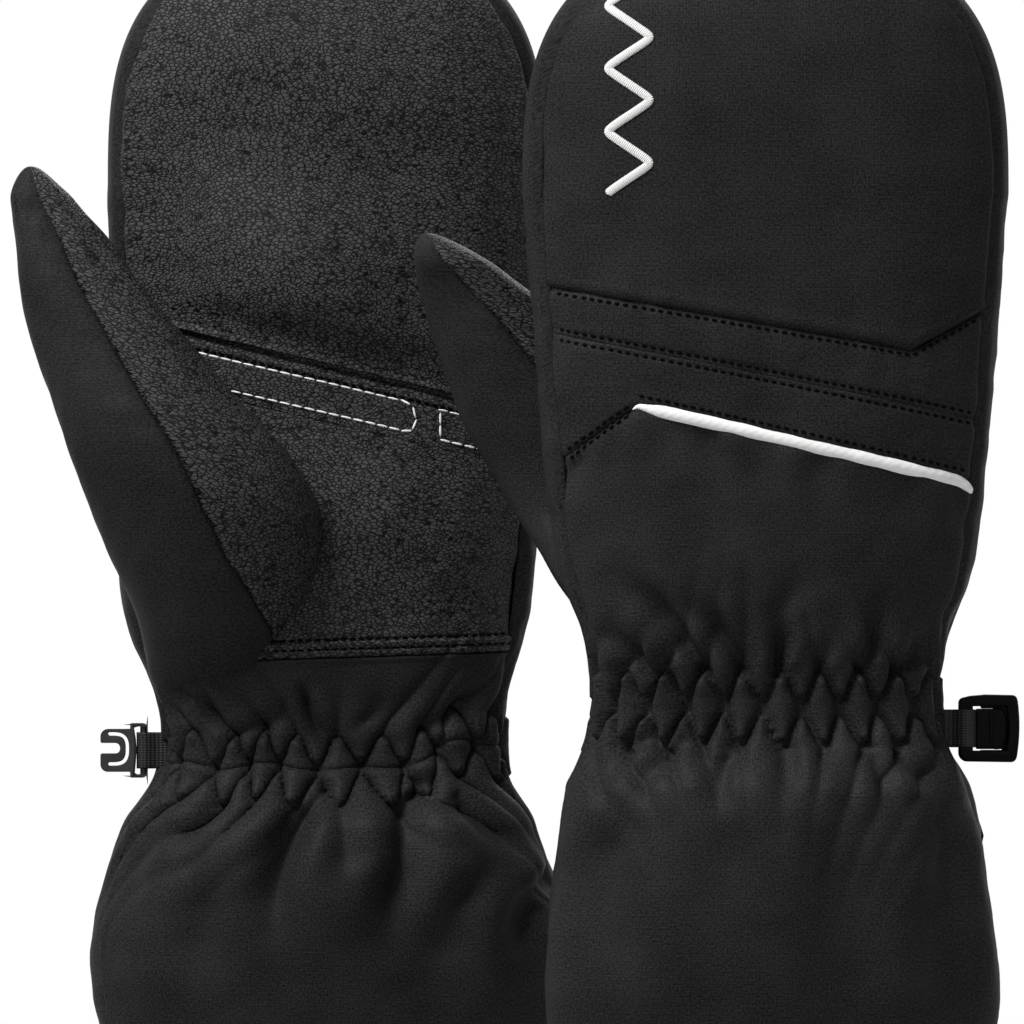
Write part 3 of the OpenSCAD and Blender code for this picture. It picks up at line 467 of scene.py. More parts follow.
# Matt black plain-woven polyester with a water-repellent finish. The threads lie about
# 0.3 mm apart, too fine to show, so the weave is drawn 0.8 mm apart. A wave pattern of
# scale 1 repeats every 0.314 m. A noise's scale is one over the size of its features in metres:
# the nap of 1600 is 0.6 mm fine, and the mottle of 45 is 22 mm broad.
THREAD_SPACING = 0.8 * MM
WAVE_REPEAT = 0.314
shell_fabric, shell_out = new_material("plain_woven_polyester_shell")
cloth_place = node(shell_fabric, "UVMap", {"uv_map": "cloth"})
warp = node(shell_fabric, "TexWave", {"bands_direction": "X"}, Vector=cloth_place.outputs[0],
            Scale=WAVE_REPEAT / THREAD_SPACING, Distortion=1.2, Detail=2.0)
weft = node(shell_fabric, "TexWave", {"bands_direction": "Y"}, Vector=cloth_place.outputs[0],
            Scale=WAVE_REPEAT / THREAD_SPACING, Distortion=1.2, Detail=2.0)
weave = node(shell_fabric, "Math", {"operation": "MULTIPLY"}, _0=warp.outputs[1], _1=weft.outputs[1])
fuzz = node(shell_fabric, "TexNoise", Vector=cloth_place.outputs[0], Scale=1600.0, Detail=3.0)
weave_mix = node(shell_fabric, "Math", {"operation": "MULTIPLY_ADD"},
                 _0=fuzz.outputs[0], _1=1.6, _2=weave.outputs[0])
weave_bump = node(shell_fabric, "Bump", Height=weave_mix.outputs[0], Strength=0.25, Distance=0.0002)
broad_mottle = node(shell_fabric, "TexNoise", Vector=cloth_place.outputs[0], Scale=45.0, Detail=5.0)
mottle_mix = node(shell_fabric, "Math", {"operation": "MULTIPLY_ADD"},
                  _0=broad_mottle.outputs[0], _1=0.3, _2=fuzz.outputs[0])
mottle_share = node(shell_fabric, "MapRange", Value=mottle_mix.outputs[0], From_Min=0.48, From_Max=0.82)
shell_shade = node(shell_fabric, "MixRGB", Fac=mottle_share.outputs[0],
                   _1=linear("141414"), _2=linear("2E2E2E"))
shell_bsdf = node(shell_fabric, "BsdfPrincipled", Base_Color=shell_shade.outputs[0], Roughness=0.52,
                  Normal=weave_bump.outputs[0])
shell_bsdf.inputs["Specular IOR Level"].default_value = 0.04
shell_fabric.node_tree.links.new(shell_bsdf.outputs[0], shell_out.inputs[0])

# Seams of the back and the palm's fold, down from the finger end at the thumb's side, at the
# kink (a share of the half width) and at the outer side. The palm's hem rises from the wrist.
KNUCKLE_KINK, PIPED_KINK = 0.66, -0.61
KNUCKLE = (92, 109, 98.5)
MIDDLE = (104, 127)
PIPED = (137.8, 123.5, 144)
FOLD = (103.5, 130)
PALM_HEM_RISE, PALM_HEM_SLOPE, PALM_HEM_W = 26, 1.6, 4.4
# Valleys beside the back's seams: how deep the edges roll in and how high the cloth puckers
KNUCKLE_VALLEY, MIDDLE_VALLEY, PIPED_VALLEY, EDGE_VALLEY = (0.8, 0.35), (0.3, 0.35), (0.9, 0.5), 0.9
# EDGE_VALLEY is the roll at the side gussets. Beside a seam the padding is drawn down, and the
# cloth puckers, over the reaches given here.
PADDING_SHARE, PADDING_REACH = 0.55, 4.5
PUCKER_PITCH, PUCKER_REACH = 8.5, 5
# Puckers under the piping, and the two kinds of uneven padding over the fingers: height and length
CORD_PUCKER = 1.2
FINGER_WAVES = ((0.3, 60), (0.18, 24))
# Rows of thread beside the middle seam, and ridges of the palm's hem, over and under their lines
MIDDLE_ROWS = (-1.4, 1.4)
HEM_RIDGES = (-1.1, 1.2)
# The palm's lip: its rolled edge, the hollow over it and the band under it, as height over the
# fold, half height and depth, and the step under the edge, as depth and the height of its foot
LIP_EDGE, LIP_HOLLOW, LIP_BAND = (0.6, 0.55, 0.9), (2.1, 0.7, 0.3), (-2.9, 1.3, 0.7)
LIP_STEP, LIP_FOOT = 1.4, -4.6
# Swells and hollows of the palm's padding: place across and over the fold, half sizes, height
PALM_SWELLS = [((-6, 25), (27, 19), 6.5), ((36, 60), (15, 26), 1.4), ((-44, 26), (11, 26), -3.2),
               ((6, 4), (44, 6), -3.0), ((10, -38), (30, 19), 5.0), ((2, 82), (34, 17), 3.2),
               ((52, -44), (9, 26), -2.4), ((-30, 56), (16, 16), -1.6)]


def knuckle_z(m, g):
    """Height of the knuckle seam at g, from -1 at the thumb's side to 1. The next four are alike."""
    fall = KNUCKLE[0] + (KNUCKLE[1] - KNUCKLE[0]) * (g + 1) / (1 + KNUCKLE_KINK)
    rise = KNUCKLE[1] + (KNUCKLE[2] - KNUCKLE[1]) * (g - KNUCKLE_KINK) / (1 - KNUCKLE_KINK)
    return m["top_z"] - np.where(g < KNUCKLE_KINK, fall, rise)


def middle_z(m, g):
    return m["top_z"] - MIDDLE[0] - (MIDDLE[1] - MIDDLE[0]) * (g + 1) / 2


def piped_z(m, g):
    rise = PIPED[0] + (PIPED[1] - PIPED[0]) * (g + 1) / (1 + PIPED_KINK)
    fall = PIPED[1] + (PIPED[2] - PIPED[1]) * (g - PIPED_KINK) / (1 - PIPED_KINK)
    return m["top_z"] - np.where(g < PIPED_KINK, rise, fall)


def fold_z(m, g):
    return m["top_z"] - FOLD[0] - (FOLD[1] - FOLD[0]) * (g + 1) / 2


def palm_hem_z(m, g):
    return m["wrist_z"] + PALM_HEM_RISE + PALM_HEM_SLOPE * g


def groove(distance, roll, spread=0.9):
    """Depth of a seam's valley: the edges roll in, and the padding is drawn down beside them."""
    away = np.abs(distance)
    drawn = PADDING_SHARE * roll * np.exp(-away / PADDING_REACH)
    return roll * np.exp(-(away / spread) ** 2) + drawn


def puckers(distance, along, seed, height=0.3):
    """Small ripples that the thread draws up beside a seam, 8.5 mm apart and 5 mm long."""
    away = np.abs(distance)
    ripples = height * soft_waves(along, along * 0.31, PUCKER_PITCH, seed, 5)
    return ripples * np.exp(-away / PUCKER_REACH) * (1 - np.exp(-away / 1.2))


def angle_of(face, f):
    """The angle in a section of a place across on one face."""
    cosine = signed_power(f, SECTION_N / 2)
    return face * np.degrees(np.arccos(np.clip(cosine, -1, 1)))


def face_depth(m, face, f, z):
    """How deep the outside of the mitten lies under the smooth hand, at a place of one face."""
    x = f * half_width(m, z)
    fingers = ease((z - m["wrist_z"] - 30) / 30)
    depth = wrinkles(m, angle_of(face, f), np.minimum(z, m["tip_z"]))
    depth = depth - fingers * sum(high * soft_waves(x, z, length, m["seed"] + 30 + number)
                                  for number, (high, length) in enumerate(FINGER_WAVES))
    g = f / EDGE_SHARE
    up = ease((z - m["gather_top"]) / 14)
    edge = (reach(m, z) - np.abs(f)) * half_width(m, z)
    depth = depth + up * (groove(edge, EDGE_VALLEY) - puckers(edge, z, m["seed"] + 22))
    if face == BACK:
        seams = (knuckle_z, KNUCKLE_VALLEY), (middle_z, MIDDLE_VALLEY), (piped_z, PIPED_VALLEY)
        for number, (line, (roll, pucker)) in enumerate(seams, 1):
            off = z - line(m, g)
            depth = depth + groove(off, roll) - puckers(off, x, m["seed"] + 40 + number, pucker)
        under_cord = piped_z(m, g) - z
        depth = depth - CORD_PUCKER * soft_waves(x, 0.2 * z, PUCKER_PITCH, m["seed"] + 44, 5) * (
            ease(under_cord / 4) * (1 - ease((under_cord - 5) / 13)))
        for low in MIDDLE_ROWS:
            depth = depth + 0.35 * np.exp(-((z - middle_z(m, g) + low) / 0.6) ** 2)
        depth = depth - 0.5 * np.exp(-((z - knuckle_z(m, g) - 1.6) / 1.1) ** 2)
    else:
        off = z - fold_z(m, g)
        edge, hollow, band = (((off - place) / half, high) for place, half, high in (
            LIP_EDGE, LIP_HOLLOW, LIP_BAND))
        depth = depth - edge[1] * np.exp(-edge[0] ** 2) + hollow[1] * np.exp(-hollow[0] ** 2)
        depth = depth + LIP_STEP * ease((0.2 - off) / 0.5) * (1 - ease((LIP_FOOT - off) / 1.2))
        depth = depth - band[1] * np.exp(-band[0] ** 4)
        for (across, above), (wide, tall), swell in PALM_SWELLS:
            depth = depth - swell * np.exp(-((x - across) / wide) ** 2 - ((off - above) / tall) ** 2)
        off = z - palm_hem_z(m, g)
        for ridge in HEM_RIDGES:
            depth = depth - 1.0 * np.exp(-((off - ridge) / 0.95) ** 4)
        depth = depth - 0.5 * ease((off + 2.6) / 0.5) * (1 - ease((off - 3) / 6))
        depth = depth - 0.12 * soft_waves(x, z, 11, m["seed"] + 33) * ease(off / 4)
    return depth


def side_depth(m, angle, z):
    """How deep the side strip lies, at an angle from the side line and a height."""
    steady = np.minimum(z, m["tip_z"])
    depth = wrinkles(m, angle, steady)
    off = (EDGE_DEEP - np.abs(around(angle)[1])) * half_depth(m, steady)
    return depth + ease((z - m["gather_top"]) / 14) * (
        groove(off, EDGE_VALLEY) - puckers(off, z, m["seed"] + 22))


# Rows and columns of the meshes, and the height at which the shell goes into the hem
ROWS = {"cuff": 32, "gather": 78, "over_back": 36, "over_palm": 12, "across": 156, "side": 18}
CLOTH_HEM = 9


def column(u):
    """Angle across a face for u from 0 at the thumb side to 1, between the two side seams."""
    return 180 - GUSSET_ANGLE - (180 - 2 * GUSSET_ANGLE) * u


def row_height(m, v, extra, top):
    """Rows from the hem to the gather's top that every patch shares, then extra rows to top."""
    rows = ROWS["cuff"] + ROWS["gather"]
    row = v * (rows + extra)
    start = m["gather_low"] - 12
    low = CLOTH_HEM + (start - CLOTH_HEM) * row / ROWS["cuff"]
    mid = start + (m["gather_top"] - start) * (row - ROWS["cuff"]) / ROWS["gather"]
    high = m["gather_top"] + (top - m["gather_top"]) * (row - rows) / max(extra, 1)
    return np.where(row <= ROWS["cuff"], low, np.where(row <= rows, mid, high))


def face_patch(m, face, extra, line):
    """shape() of the shell on one face, from the hem up to a seam line."""
    def shape(u, v):
        f = around(column(u))[0]
        z = row_height(m, v, extra, line(f / EDGE_SHARE))
        points = hand_skin(m, f, z, face, face_depth(m, face, f, z))
        return points, np.stack([1.3 * f * half_width(m, z), z], -1)
    return shape


def side_patch(m, sign):
    """shape() of the shell between the two faces, from the hem up to the gather's top."""
    def shape(u, v):
        angle = (0 if sign > 0 else 180) + GUSSET_ANGLE * (2 * u - 1)
        z = row_height(m, v, 0, 0)
        points = band_skin(m, angle, z, side_depth(m, angle, z))
        return points, np.stack([points[:, 1] + 200, z], -1)
    return shape


for side, m in MITTENS.items():
    rows = ROWS["cuff"] + ROWS["gather"]
    over_back, over_palm = ROWS["over_back"], ROWS["over_palm"]
    cloth = drape(m, "wrist_and_gauntlet_cloth", [
        (ROWS["across"], rows + over_back, face_patch(m, BACK, over_back, lambda g: piped_z(m, g))),
        (ROWS["across"], rows + over_palm,
         face_patch(m, PALM, over_palm, lambda g: palm_hem_z(m, g) - PALM_HEM_W / 2)),
        (ROWS["side"], rows, side_patch(m, 1)),
        (ROWS["side"], rows, side_patch(m, -1)),
    ], shell_fabric, weld=True)
    blend_wrist(cloth)
    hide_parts(*[side + cad for cad in ("_back_wrist_panel", "_palm_wrist_panel",
                                                "_wrist_gather", "_cuff_shell")])

# ---- back panels: a padded panel over the fingers and two bands over the knuckles ----
# They are cut from the shell fabric and sewn edge to edge. Each dips at its seams, where the
# thread pulls it down, and swells between them.
# Share of the finger end's height that a panel fills, so that its rows don't meet in one point
PANEL_TOP = 0.99995


def panel(m, face, low, high=None, crowd=0.0):
    """shape() of a panel of one face from a line up to a second one, or to the finger end. crowd
    draws its rows together at both ends."""
    def shape(u, v):
        f = around(column(u))[0]
        g = f / EDGE_SHARE
        bottom = low(g)
        if high is None:
            top = m["tip_z"] + TIP_H * EDGE_SHARE * PANEL_TOP
            row = v - crowd / (2 * math.pi) * np.sin(2 * math.pi * v)
            z = bottom + (top - bottom) * (1 - (1 - row) ** 1.7)
        else:
            z = bottom + (high(g) - bottom) * v
        f = g * reach(m, z)
        points = hand_skin(m, f, z, face, face_depth(m, face, f, z))
        return points, np.stack([f * half_width(m, z), z], -1)
    return shape


for side, m in MITTENS.items():
    for name, cad, rows, low, high in (
            ("back_top_panel_cloth", "_back_top_panel", 96, knuckle_z, None),
            ("back_upper_band_cloth", "_back_upper_band", 26, middle_z, knuckle_z),
            ("back_lower_band_cloth", "_back_lower_band", 30, piped_z, middle_z)):
        piece = drape(m, name, [(ROWS["across"], rows, panel(
            m, BACK, lambda g: low(m, g), high and (lambda g: high(m, g))))], shell_fabric)
        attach(piece, side + "_hand")
        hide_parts(side + cad)

# ---- side gussets: strips of shell fabric between the back and the palm ----
# Each is sewn between the two panels and runs from the wrist to the middle of the finger end.
# Share of its half width that is turned in under the panels beside it, and how deep, in mm.
# Both gussets pass the middle of the finger end a little, so that no gap is left.
GUSSET_TUCK, TUCK_DEEP = 0.12, 1.1
GUSSET_PAST = 0.3
GUSSET_ROWS, GUSSET_TIP_ROWS = 90, 60


def gusset(m, sign):
    """shape() of a gusset: straight up the side, then round the finger end to its middle."""
    def shape(u, v):
        side_on = (1 + GUSSET_TUCK) * np.abs(2 * u - 1)
        angle = GUSSET_ANGLE * (1 + GUSSET_TUCK) * (2 * u - 1)
        across, deep = around(angle)
        row = v * (GUSSET_ROWS + GUSSET_TIP_ROWS)
        z = m["gather_top"] + (m["tip_z"] - m["gather_top"]) * np.minimum(row / GUSSET_ROWS, 1)
        turn = np.radians(90 * np.clip((row - GUSSET_ROWS) / GUSSET_TIP_ROWS, 0, 1))
        depth = side_depth(m, np.where(sign > 0, angle, 180 - angle), z)
        depth = depth + TUCK_DEEP * ease((side_on - 1) / 0.05)
        x = centre_x(m, z) + sign * (half_width(m, z) - depth) * across * np.cos(turn) ** (2 / OUTLINE_N)
        x = x - sign * GUSSET_PAST * (row > GUSSET_ROWS + GUSSET_TIP_ROWS - 0.5)
        y = (half_depth(m, z) - depth) * deep
        over = np.where(row > GUSSET_ROWS, (TIP_H - depth) * across * np.sin(turn) ** (2 / OUTLINE_N), 0)
        return np.stack([x, y, z + over], -1), np.stack([y + 300, z + over - x * 0.5], -1)
    return shape


for side, m in MITTENS.items():
    for name, sign in (("thumb_side_gusset", -1), ("outer_side_gusset", 1)):
        piece = drape(m, name + "_cloth", [
            (ROWS["side"], GUSSET_ROWS + GUSSET_TIP_ROWS, gusset(m, sign))], shell_fabric)
        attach(piece, side + "_hand")
        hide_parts(side + "_" + name)

# ---- palm: leather over the fingers, a grip strip, leather over the heel and a hem ----
# Black goat-grain leather, cut in three. The upper piece ends in a rolled lip over the grip strip,
# a row of black thread lies in the band under it, and the hem is a doubled strip.
# The leather's pebbles are 1 mm across, which is drawn at full size, and part at fine cracks that
# the colour paints black, as painted shade. The finish is satin, and longer creases run across the
# hand, also painted darker as painted shade: noises of scale 120 and 70 are 8 and 14 mm broad,
# the bend of 260 is 4 mm and the fine grain of 1800 is 0.6 mm.
GRAIN = 1.05 * MM
palm_leather, palm_out = new_material("grained_goat_leather")
hide_place = node(palm_leather, "UVMap", {"uv_map": "cloth"})
hide_bend = node(palm_leather, "TexNoise", Vector=hide_place.outputs[0], Scale=260.0, Detail=2.0)
hide_shift = node(palm_leather, "VectorMath", {"operation": "MULTIPLY_ADD"},
                  _0=hide_bend.outputs["Color"], _1=(0.0006, 0.0006, 0.0), _2=hide_place.outputs[0])
hide_draw = node(palm_leather, "Mapping", Vector=hide_shift.outputs[0], Scale=(0.75, 1.2, 1.0))
pebbles = node(palm_leather, "TexVoronoi", {"feature": "DISTANCE_TO_EDGE"}, Vector=hide_draw.outputs[0],
               Scale=1 / GRAIN, Randomness=1.0)
pebble_dome = node(palm_leather, "MapRange", {"interpolation_type": "SMOOTHSTEP"},
                   Value=pebbles.outputs["Distance"], From_Min=0.0, From_Max=0.22)
fine_grain = node(palm_leather, "TexNoise", Vector=hide_place.outputs[0], Scale=1800.0, Detail=2.0)
crease_field = node(palm_leather, "TexNoise", Vector=hide_draw.outputs[0], Scale=120.0, Detail=3.0)
pebble_high = node(palm_leather, "Math", {"operation": "MULTIPLY_ADD"},
                   _0=fine_grain.outputs[0], _1=0.08, _2=pebble_dome.outputs[0])
hide_high = node(palm_leather, "Math", {"operation": "MULTIPLY_ADD"},
                 _0=crease_field.outputs[0], _1=0.35, _2=pebble_high.outputs[0])
hide_bump = node(palm_leather, "Bump", Height=hide_high.outputs[0], Strength=0.5, Distance=0.0004)
crease_middle = node(palm_leather, "TexNoise", Vector=hide_draw.outputs[0], Scale=70.0, Detail=2.0)
crease_off = node(palm_leather, "Math", {"operation": "SUBTRACT"}, _0=crease_middle.outputs[0], _1=0.5)
crease_near = node(palm_leather, "Math", {"operation": "ABSOLUTE"}, _0=crease_off.outputs[0])
# Painted shade: thin lines along the crease noise are painted darker, down to 0.35 of the tone
crease_painted_shade_share = node(palm_leather, "MapRange", {"interpolation_type": "SMOOTHSTEP"},
                   Value=crease_near.outputs[0], From_Min=0.0, From_Max=0.012, To_Min=0.35)
crack_and_crease_painted_shade = node(palm_leather, "Math", {"operation": "MULTIPLY"},
                 _0=pebble_dome.outputs[0], _1=crease_painted_shade_share.outputs[0])
# Painted shade: the colour goes to black in the cracks between pebbles and along the creases
leather_tone_with_painted_shade = node(palm_leather, "MixRGB", Fac=crack_and_crease_painted_shade.outputs[0],
                  _1=linear("000000"), _2=linear("414141"))
hide_gloss = node(palm_leather, "MapRange", Value=crease_field.outputs[0], To_Min=0.42, To_Max=0.5)
hide_bsdf = node(palm_leather, "BsdfPrincipled", Base_Color=leather_tone_with_painted_shade.outputs[0],
                 Roughness=hide_gloss.outputs[0], Normal=hide_bump.outputs[0])
hide_bsdf.inputs["Specular IOR Level"].default_value = 0.09
palm_leather.node_tree.links.new(hide_bsdf.outputs[0], palm_out.inputs[0])

# Width of the grip strip, how much further the hem band reaches up than down, and how strongly
# the upper leather's rows crowd at its lip
GRIP_W, HEM_SEAM, LIP_CROWD = 16, 0.4, 0.85
for side, m in MITTENS.items():
    hem_edge = PALM_HEM_W / 2 + HEM_SEAM
    for name, cad, rows, low, high in (
            ("palm_upper_leather_hide", "_palm_upper_leather", 140, lambda g: fold_z(m, g), None),
            ("palm_grip_strip_hide", "_palm_grip_strip", 34,
             lambda g: fold_z(m, g) - GRIP_W, lambda g: fold_z(m, g)),
            ("palm_lower_leather_hide", "_palm_lower_leather", 56,
             lambda g: palm_hem_z(m, g) + hem_edge, lambda g: fold_z(m, g) - GRIP_W),
            ("palm_hem_band_hide", "_palm_hem_band", 16,
             lambda g: palm_hem_z(m, g) - PALM_HEM_W / 2, lambda g: palm_hem_z(m, g) + hem_edge)):
        piece = drape(m, name, [(ROWS["across"], rows, panel(m, PALM, low, high, LIP_CROWD))], palm_leather)
        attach(piece, side + "_hand")
        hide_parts(side + cad)

# ---- thumbs: a fabric panel outside and a leather panel inside ----
# Each thumb is sewn from two shaped panels and set into the palm. Its foot spreads over the
# palm and sinks into it, and the seam runs down its middle and out to the hem.
# Sections of the thumb: height, middle across, half width, middle depth and half depth
THUMBS = {
    "left": [
        (104, -30, 15, 5, 5), (111, -30, 18.5, 10.5, 10.5), (116.3, -30, 19.6, 12.8, 12.8),
        (128.7, -29, 23.5, 17, 17), (142.5, -30, 28, 23.3, 18.3), (156.3, -32.8, 30.6, 29.3, 17.3),
        (171.4, -39.8, 29.7, 33.3, 14.8), (186.6, -49.3, 25.3, 32.3, 13.8), (204.5, -59.5, 21, 29.8, 11.3),
        (218.3, -67.2, 16.2, 27.5, 9), (230.7, -72.6, 12.2, 25.5, 7), (241.7, -78.1, 7.9, 22.8, 5.8),
        (250, -80.6, 4.6, 22, 4),
    ],
    "right": [
        (117, -29, 14, 5, 5), (124, -29, 17.5, 11, 11), (129.8, -29, 20.5, 13.5, 13.5),
        (136.4, -30.5, 24, 18.5, 17.5), (145.7, -32.6, 27.1, 25, 18), (156, -37.7, 28.6, 31, 16.2),
        (168, -45, 27.9, 33.3, 14.8), (178.7, -52.5, 26.5, 32.3, 13.8), (192, -60.7, 23.7, 30, 11.5),
        (205, -69.6, 19.1, 27, 8.6), (216, -77.9, 13.4, 24.5, 6.6), (222, -82.7, 10, 22.8, 5.8),
        (229.7, -89.4, 5.6, 22, 4),
    ],
}
# Places of the thumb's two seams across it: over the wrist on the palm side, and from the
# thumb's tip down on the other side
FRONT_SEAM = ([24, 37, 50, 64], [0.97, 0.49, 0.14, 0.0])
BACK_SEAM = ([8, 15, 23, 33, 60], [-0.23, -0.10, 0.03, 0.07, 0.2])
# Roundness of a section, length of the round tip, and columns and rows of each half
THUMB_N = 2.2
THUMB_ROUND = 8.5
THUMB_GRID = (72, 120)
# Roll, spread and puckers of its seams, and height and length of its swells and ripples
THUMB_VALLEY, THUMB_SWELL, THUMB_RIPPLE = (0.75, 0.8, 0.28), (0.45, 42), (0.12, 12)


def thumb_skin(m, degrees, z, sink):
    """Points of the thumb, sink mm deep. 0 is towards the fingers and 90 the palm side."""
    stations = np.array(THUMBS[m["side"]], float).T
    middle_x, wide, middle_y, deep = (through(z, stations[0], values) for values in stations[1:])
    tip = stations[0][-1]
    close = np.sqrt(np.clip(1 - ((z - tip + THUMB_ROUND) / THUMB_ROUND).clip(0) ** 2, 0, 1))
    a = np.radians(degrees)
    x = middle_x + np.maximum(wide * close - sink, 0) * signed_power(np.cos(a), 2 / THUMB_N)
    y = middle_y + np.maximum(deep * close - sink, 0) * signed_power(np.sin(a), 2 / THUMB_N)
    return np.stack([x, y, z - np.minimum(sink, 6) * ease((z - tip + 14) / 14)], -1)


def seam_angles(m, z):
    """Angles of the front seam and the back seam at a height, the back one under 0."""
    front = np.interp(z - m["wrist_z"], *FRONT_SEAM)
    back = np.interp(THUMBS[m["side"]][-1][0] - z, *BACK_SEAM)
    as_angle = [np.degrees(np.arccos(signed_power(q, THUMB_N / 2))) for q in (front, back)]
    return as_angle[0], -as_angle[1]


def thumb_depth(m, degrees, z):
    """How deep the thumb's skin lies: seams, small puckers and the softness of its filling."""
    front, back = seam_angles(m, z)
    turned = np.mod(degrees + 180, 360) - 180
    wide = through(z, *np.array(THUMBS[m["side"]], float).T[[0, 2]])
    offs = [np.radians(np.abs(np.mod(turned - seam + 180, 360) - 180)) * wide * 0.8
            for seam in (front, back)]
    a = np.radians(degrees)
    roll, spread, pucker = THUMB_VALLEY
    depth = sum(groove(off, roll, spread) - puckers(off, z, m["seed"] + 60, pucker) for off in offs)
    side_x, side_y = 26 * np.cos(a), 26 * np.sin(a)
    (swell, swell_length), (ripple, ripple_length) = THUMB_SWELL, THUMB_RIPPLE
    soft = swell * soft_waves(side_x + z * 0.3, z + side_y, swell_length, m["seed"] + 61)
    fine = ripple * soft_waves(side_x, z - side_y, ripple_length, m["seed"] + 62)
    fade = ease((THUMBS[m["side"]][-1][0] - z) / 12)
    return (depth - soft - fine) * fade - 0.3


def thumb_rows(m, v):
    """Heights from the thumb's foot to its tip, closer together at the tip."""
    foot, tip = THUMBS[m["side"]][0][0], THUMBS[m["side"]][-1][0]
    return foot + (tip - foot) * np.sin(v * math.pi / 2) ** 0.9


def thumb_half(m, leather):
    """shape() of the leather or the fabric half of the thumb, between its two seams."""
    def shape(u, v):
        z = thumb_rows(m, v)
        front, back = seam_angles(m, z)
        angle = back + (front - back) * u if leather else front + (360 + back - front) * u
        points = thumb_skin(m, angle, z, thumb_depth(m, angle, z))
        spread = np.radians(angle) * through(z, *np.array(THUMBS[m["side"]], float).T[[0, 2]])
        return points, np.stack([spread * 0.9 + (500 if leather else 700), z], -1)
    return shape


def blend_thumb(piece):
    """Bakes a piece's place in the frame into its mesh."""
    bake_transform(piece)


for side, m in MITTENS.items():
    fabric_half = drape(m, "thumb_fabric_cloth", [(*THUMB_GRID, thumb_half(m, False))], shell_fabric,
                        weld=True)
    blend_thumb(fabric_half)
    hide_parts(side + "_thumb_fabric_panel", side + "_thumb_root")
    leather_half = drape(m, "thumb_leather_hide", [(*THUMB_GRID, thumb_half(m, True))], palm_leather,
                         weld=True)
    blend_thumb(leather_half)
    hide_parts(side + "_thumb_leather_panel")

# ---- gauntlet hems: strips of shell fabric folded round the edge ----
# A doubled strip of the shell fabric is folded over the gauntlet's edge and stitched once
# round. The mitten stands on its flat lower edge.
# Outline of the folded strip in mm, as depth and height, with the stitched row's dent in it
HEM_OUTLINE = [(0.2, 12.4), (-0.9, 12.0), (-1.3, 10.4), (-0.7, 9.4), (-1.2, 8.2), (-1.4, 4.5),
               (-1.1, 1.4), (-0.2, 0.2), (1.1, 0.0), (2.4, 0.3), (2.9, 1.6), (3.0, 6.0), (2.9, 10.6),
               (1.8, 12.2), (0.2, 12.4)]
# Height whose wrinkles the whole strip takes
HEM_FORM_Z = 12.0


def hem_shape(m):
    """shape() of the folded strip, once round its outline in v and once round the hem in u."""
    def shape(u, v):
        place = v * (len(HEM_OUTLINE) - 1)
        sink, z = (np.interp(place, range(len(HEM_OUTLINE)), part) for part in np.array(HEM_OUTLINE).T)
        angle = 360 * u
        depth = wrinkles(m, angle, np.full_like(z, HEM_FORM_Z)) + LOFT
        return band_skin(m, angle, z, depth + sink), np.stack([angle, place * 2], -1)
    return shape


for side, m in MITTENS.items():
    hem = drape(m, "hem_binding", [(220, 42, hem_shape(m))], shell_fabric, thick=0, weld=True)
    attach(hem, side + "_cuff")
    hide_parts(side + "_cuff_hem")

# ---- topstitching: black thread along the seams, white thread round the palm's tabs ----
# Each stitch is a short thread that swells between two holes. The black ones show for 1.7 mm
# of every 2.3 mm, and the white ones are 3.4 mm long and all but touch.


def face_skin(m, face):
    """skin() of one face of the mitten, over f and height."""
    return lambda f, z: hand_skin(m, f, z, face, face_depth(m, face, f, z))


def surface_frames(m, skin, across, up, ahead_across, ahead_up, span=0.02):
    """Places, directions along a path and outward normals on a skin, in the frame's metres."""
    here = stand(m, skin(across, up))
    along = stand(m, skin(ahead_across, ahead_up)) - here
    along /= np.linalg.norm(along, axis=1)[:, None]
    sideways = stand(m, skin(across + span, up)) - stand(m, skin(across - span, up))
    upward = stand(m, skin(across, up + 1.2)) - stand(m, skin(across, up - 1.2))
    normal = np.cross(sideways, upward)
    normal /= np.linalg.norm(normal, axis=1)[:, None]
    from_middle = here - stand(m, np.stack([0 * up, 0 * up, here[:, 2] / MM], -1))
    normal *= np.sign(np.sum(normal * from_middle, axis=1))[:, None]
    return here, along, normal


def stitches(m, name, rows, pitch, length, thick, material, lift=0.0):
    """One mesh of short threads. A row is (skin, span, path, total), where path(s) gives the
    place on the skin at s mm."""
    whole = bmesh.new()
    for skin, span, path, total in rows:
        count = max(1, round(total / pitch))
        s = (np.arange(count) + 0.5) * total / count
        row = bmesh.new()
        for place, forward, out in zip(*surface_frames(m, skin, *path(s), *path(s + 0.5), span)):
            forward, out = Vector(forward), Vector(out)
            out = (out - forward * out.dot(forward)).normalized()
            turn = Matrix((forward, out.cross(forward), out)).transposed().to_4x4()
            size = Matrix.Diagonal((length / 2 * MM, thick / 2 * MM, thick / 2 * MM, 1))
            seat = Matrix.Translation(Vector(place) + out * lift * MM)
            bmesh.ops.create_uvsphere(row, u_segments=8, v_segments=5, radius=1, matrix=seat @ turn @ size)
        row_mesh = bpy.data.meshes.new("stitch_row")
        row.to_mesh(row_mesh)
        row.free()
        whole.from_mesh(row_mesh)
        bpy.data.meshes.remove(row_mesh)
    return new_piece(m["side"] + "_" + name, whole, material)


def along_seam(m, line, start, end, drop=0.0):
    """A path on one face beside a seam line, from g = start to end, drop mm under the line."""
    g = np.linspace(start, end, 80)
    z = line(m, g) - drop
    f = g * reach(m, z)
    x = f * half_width(m, z)
    arcs = np.concatenate([[0], np.cumsum(np.hypot(np.diff(x), np.diff(z)))])
    return (lambda s: (np.interp(s, arcs, f), np.interp(s, arcs, z))), arcs[-1]


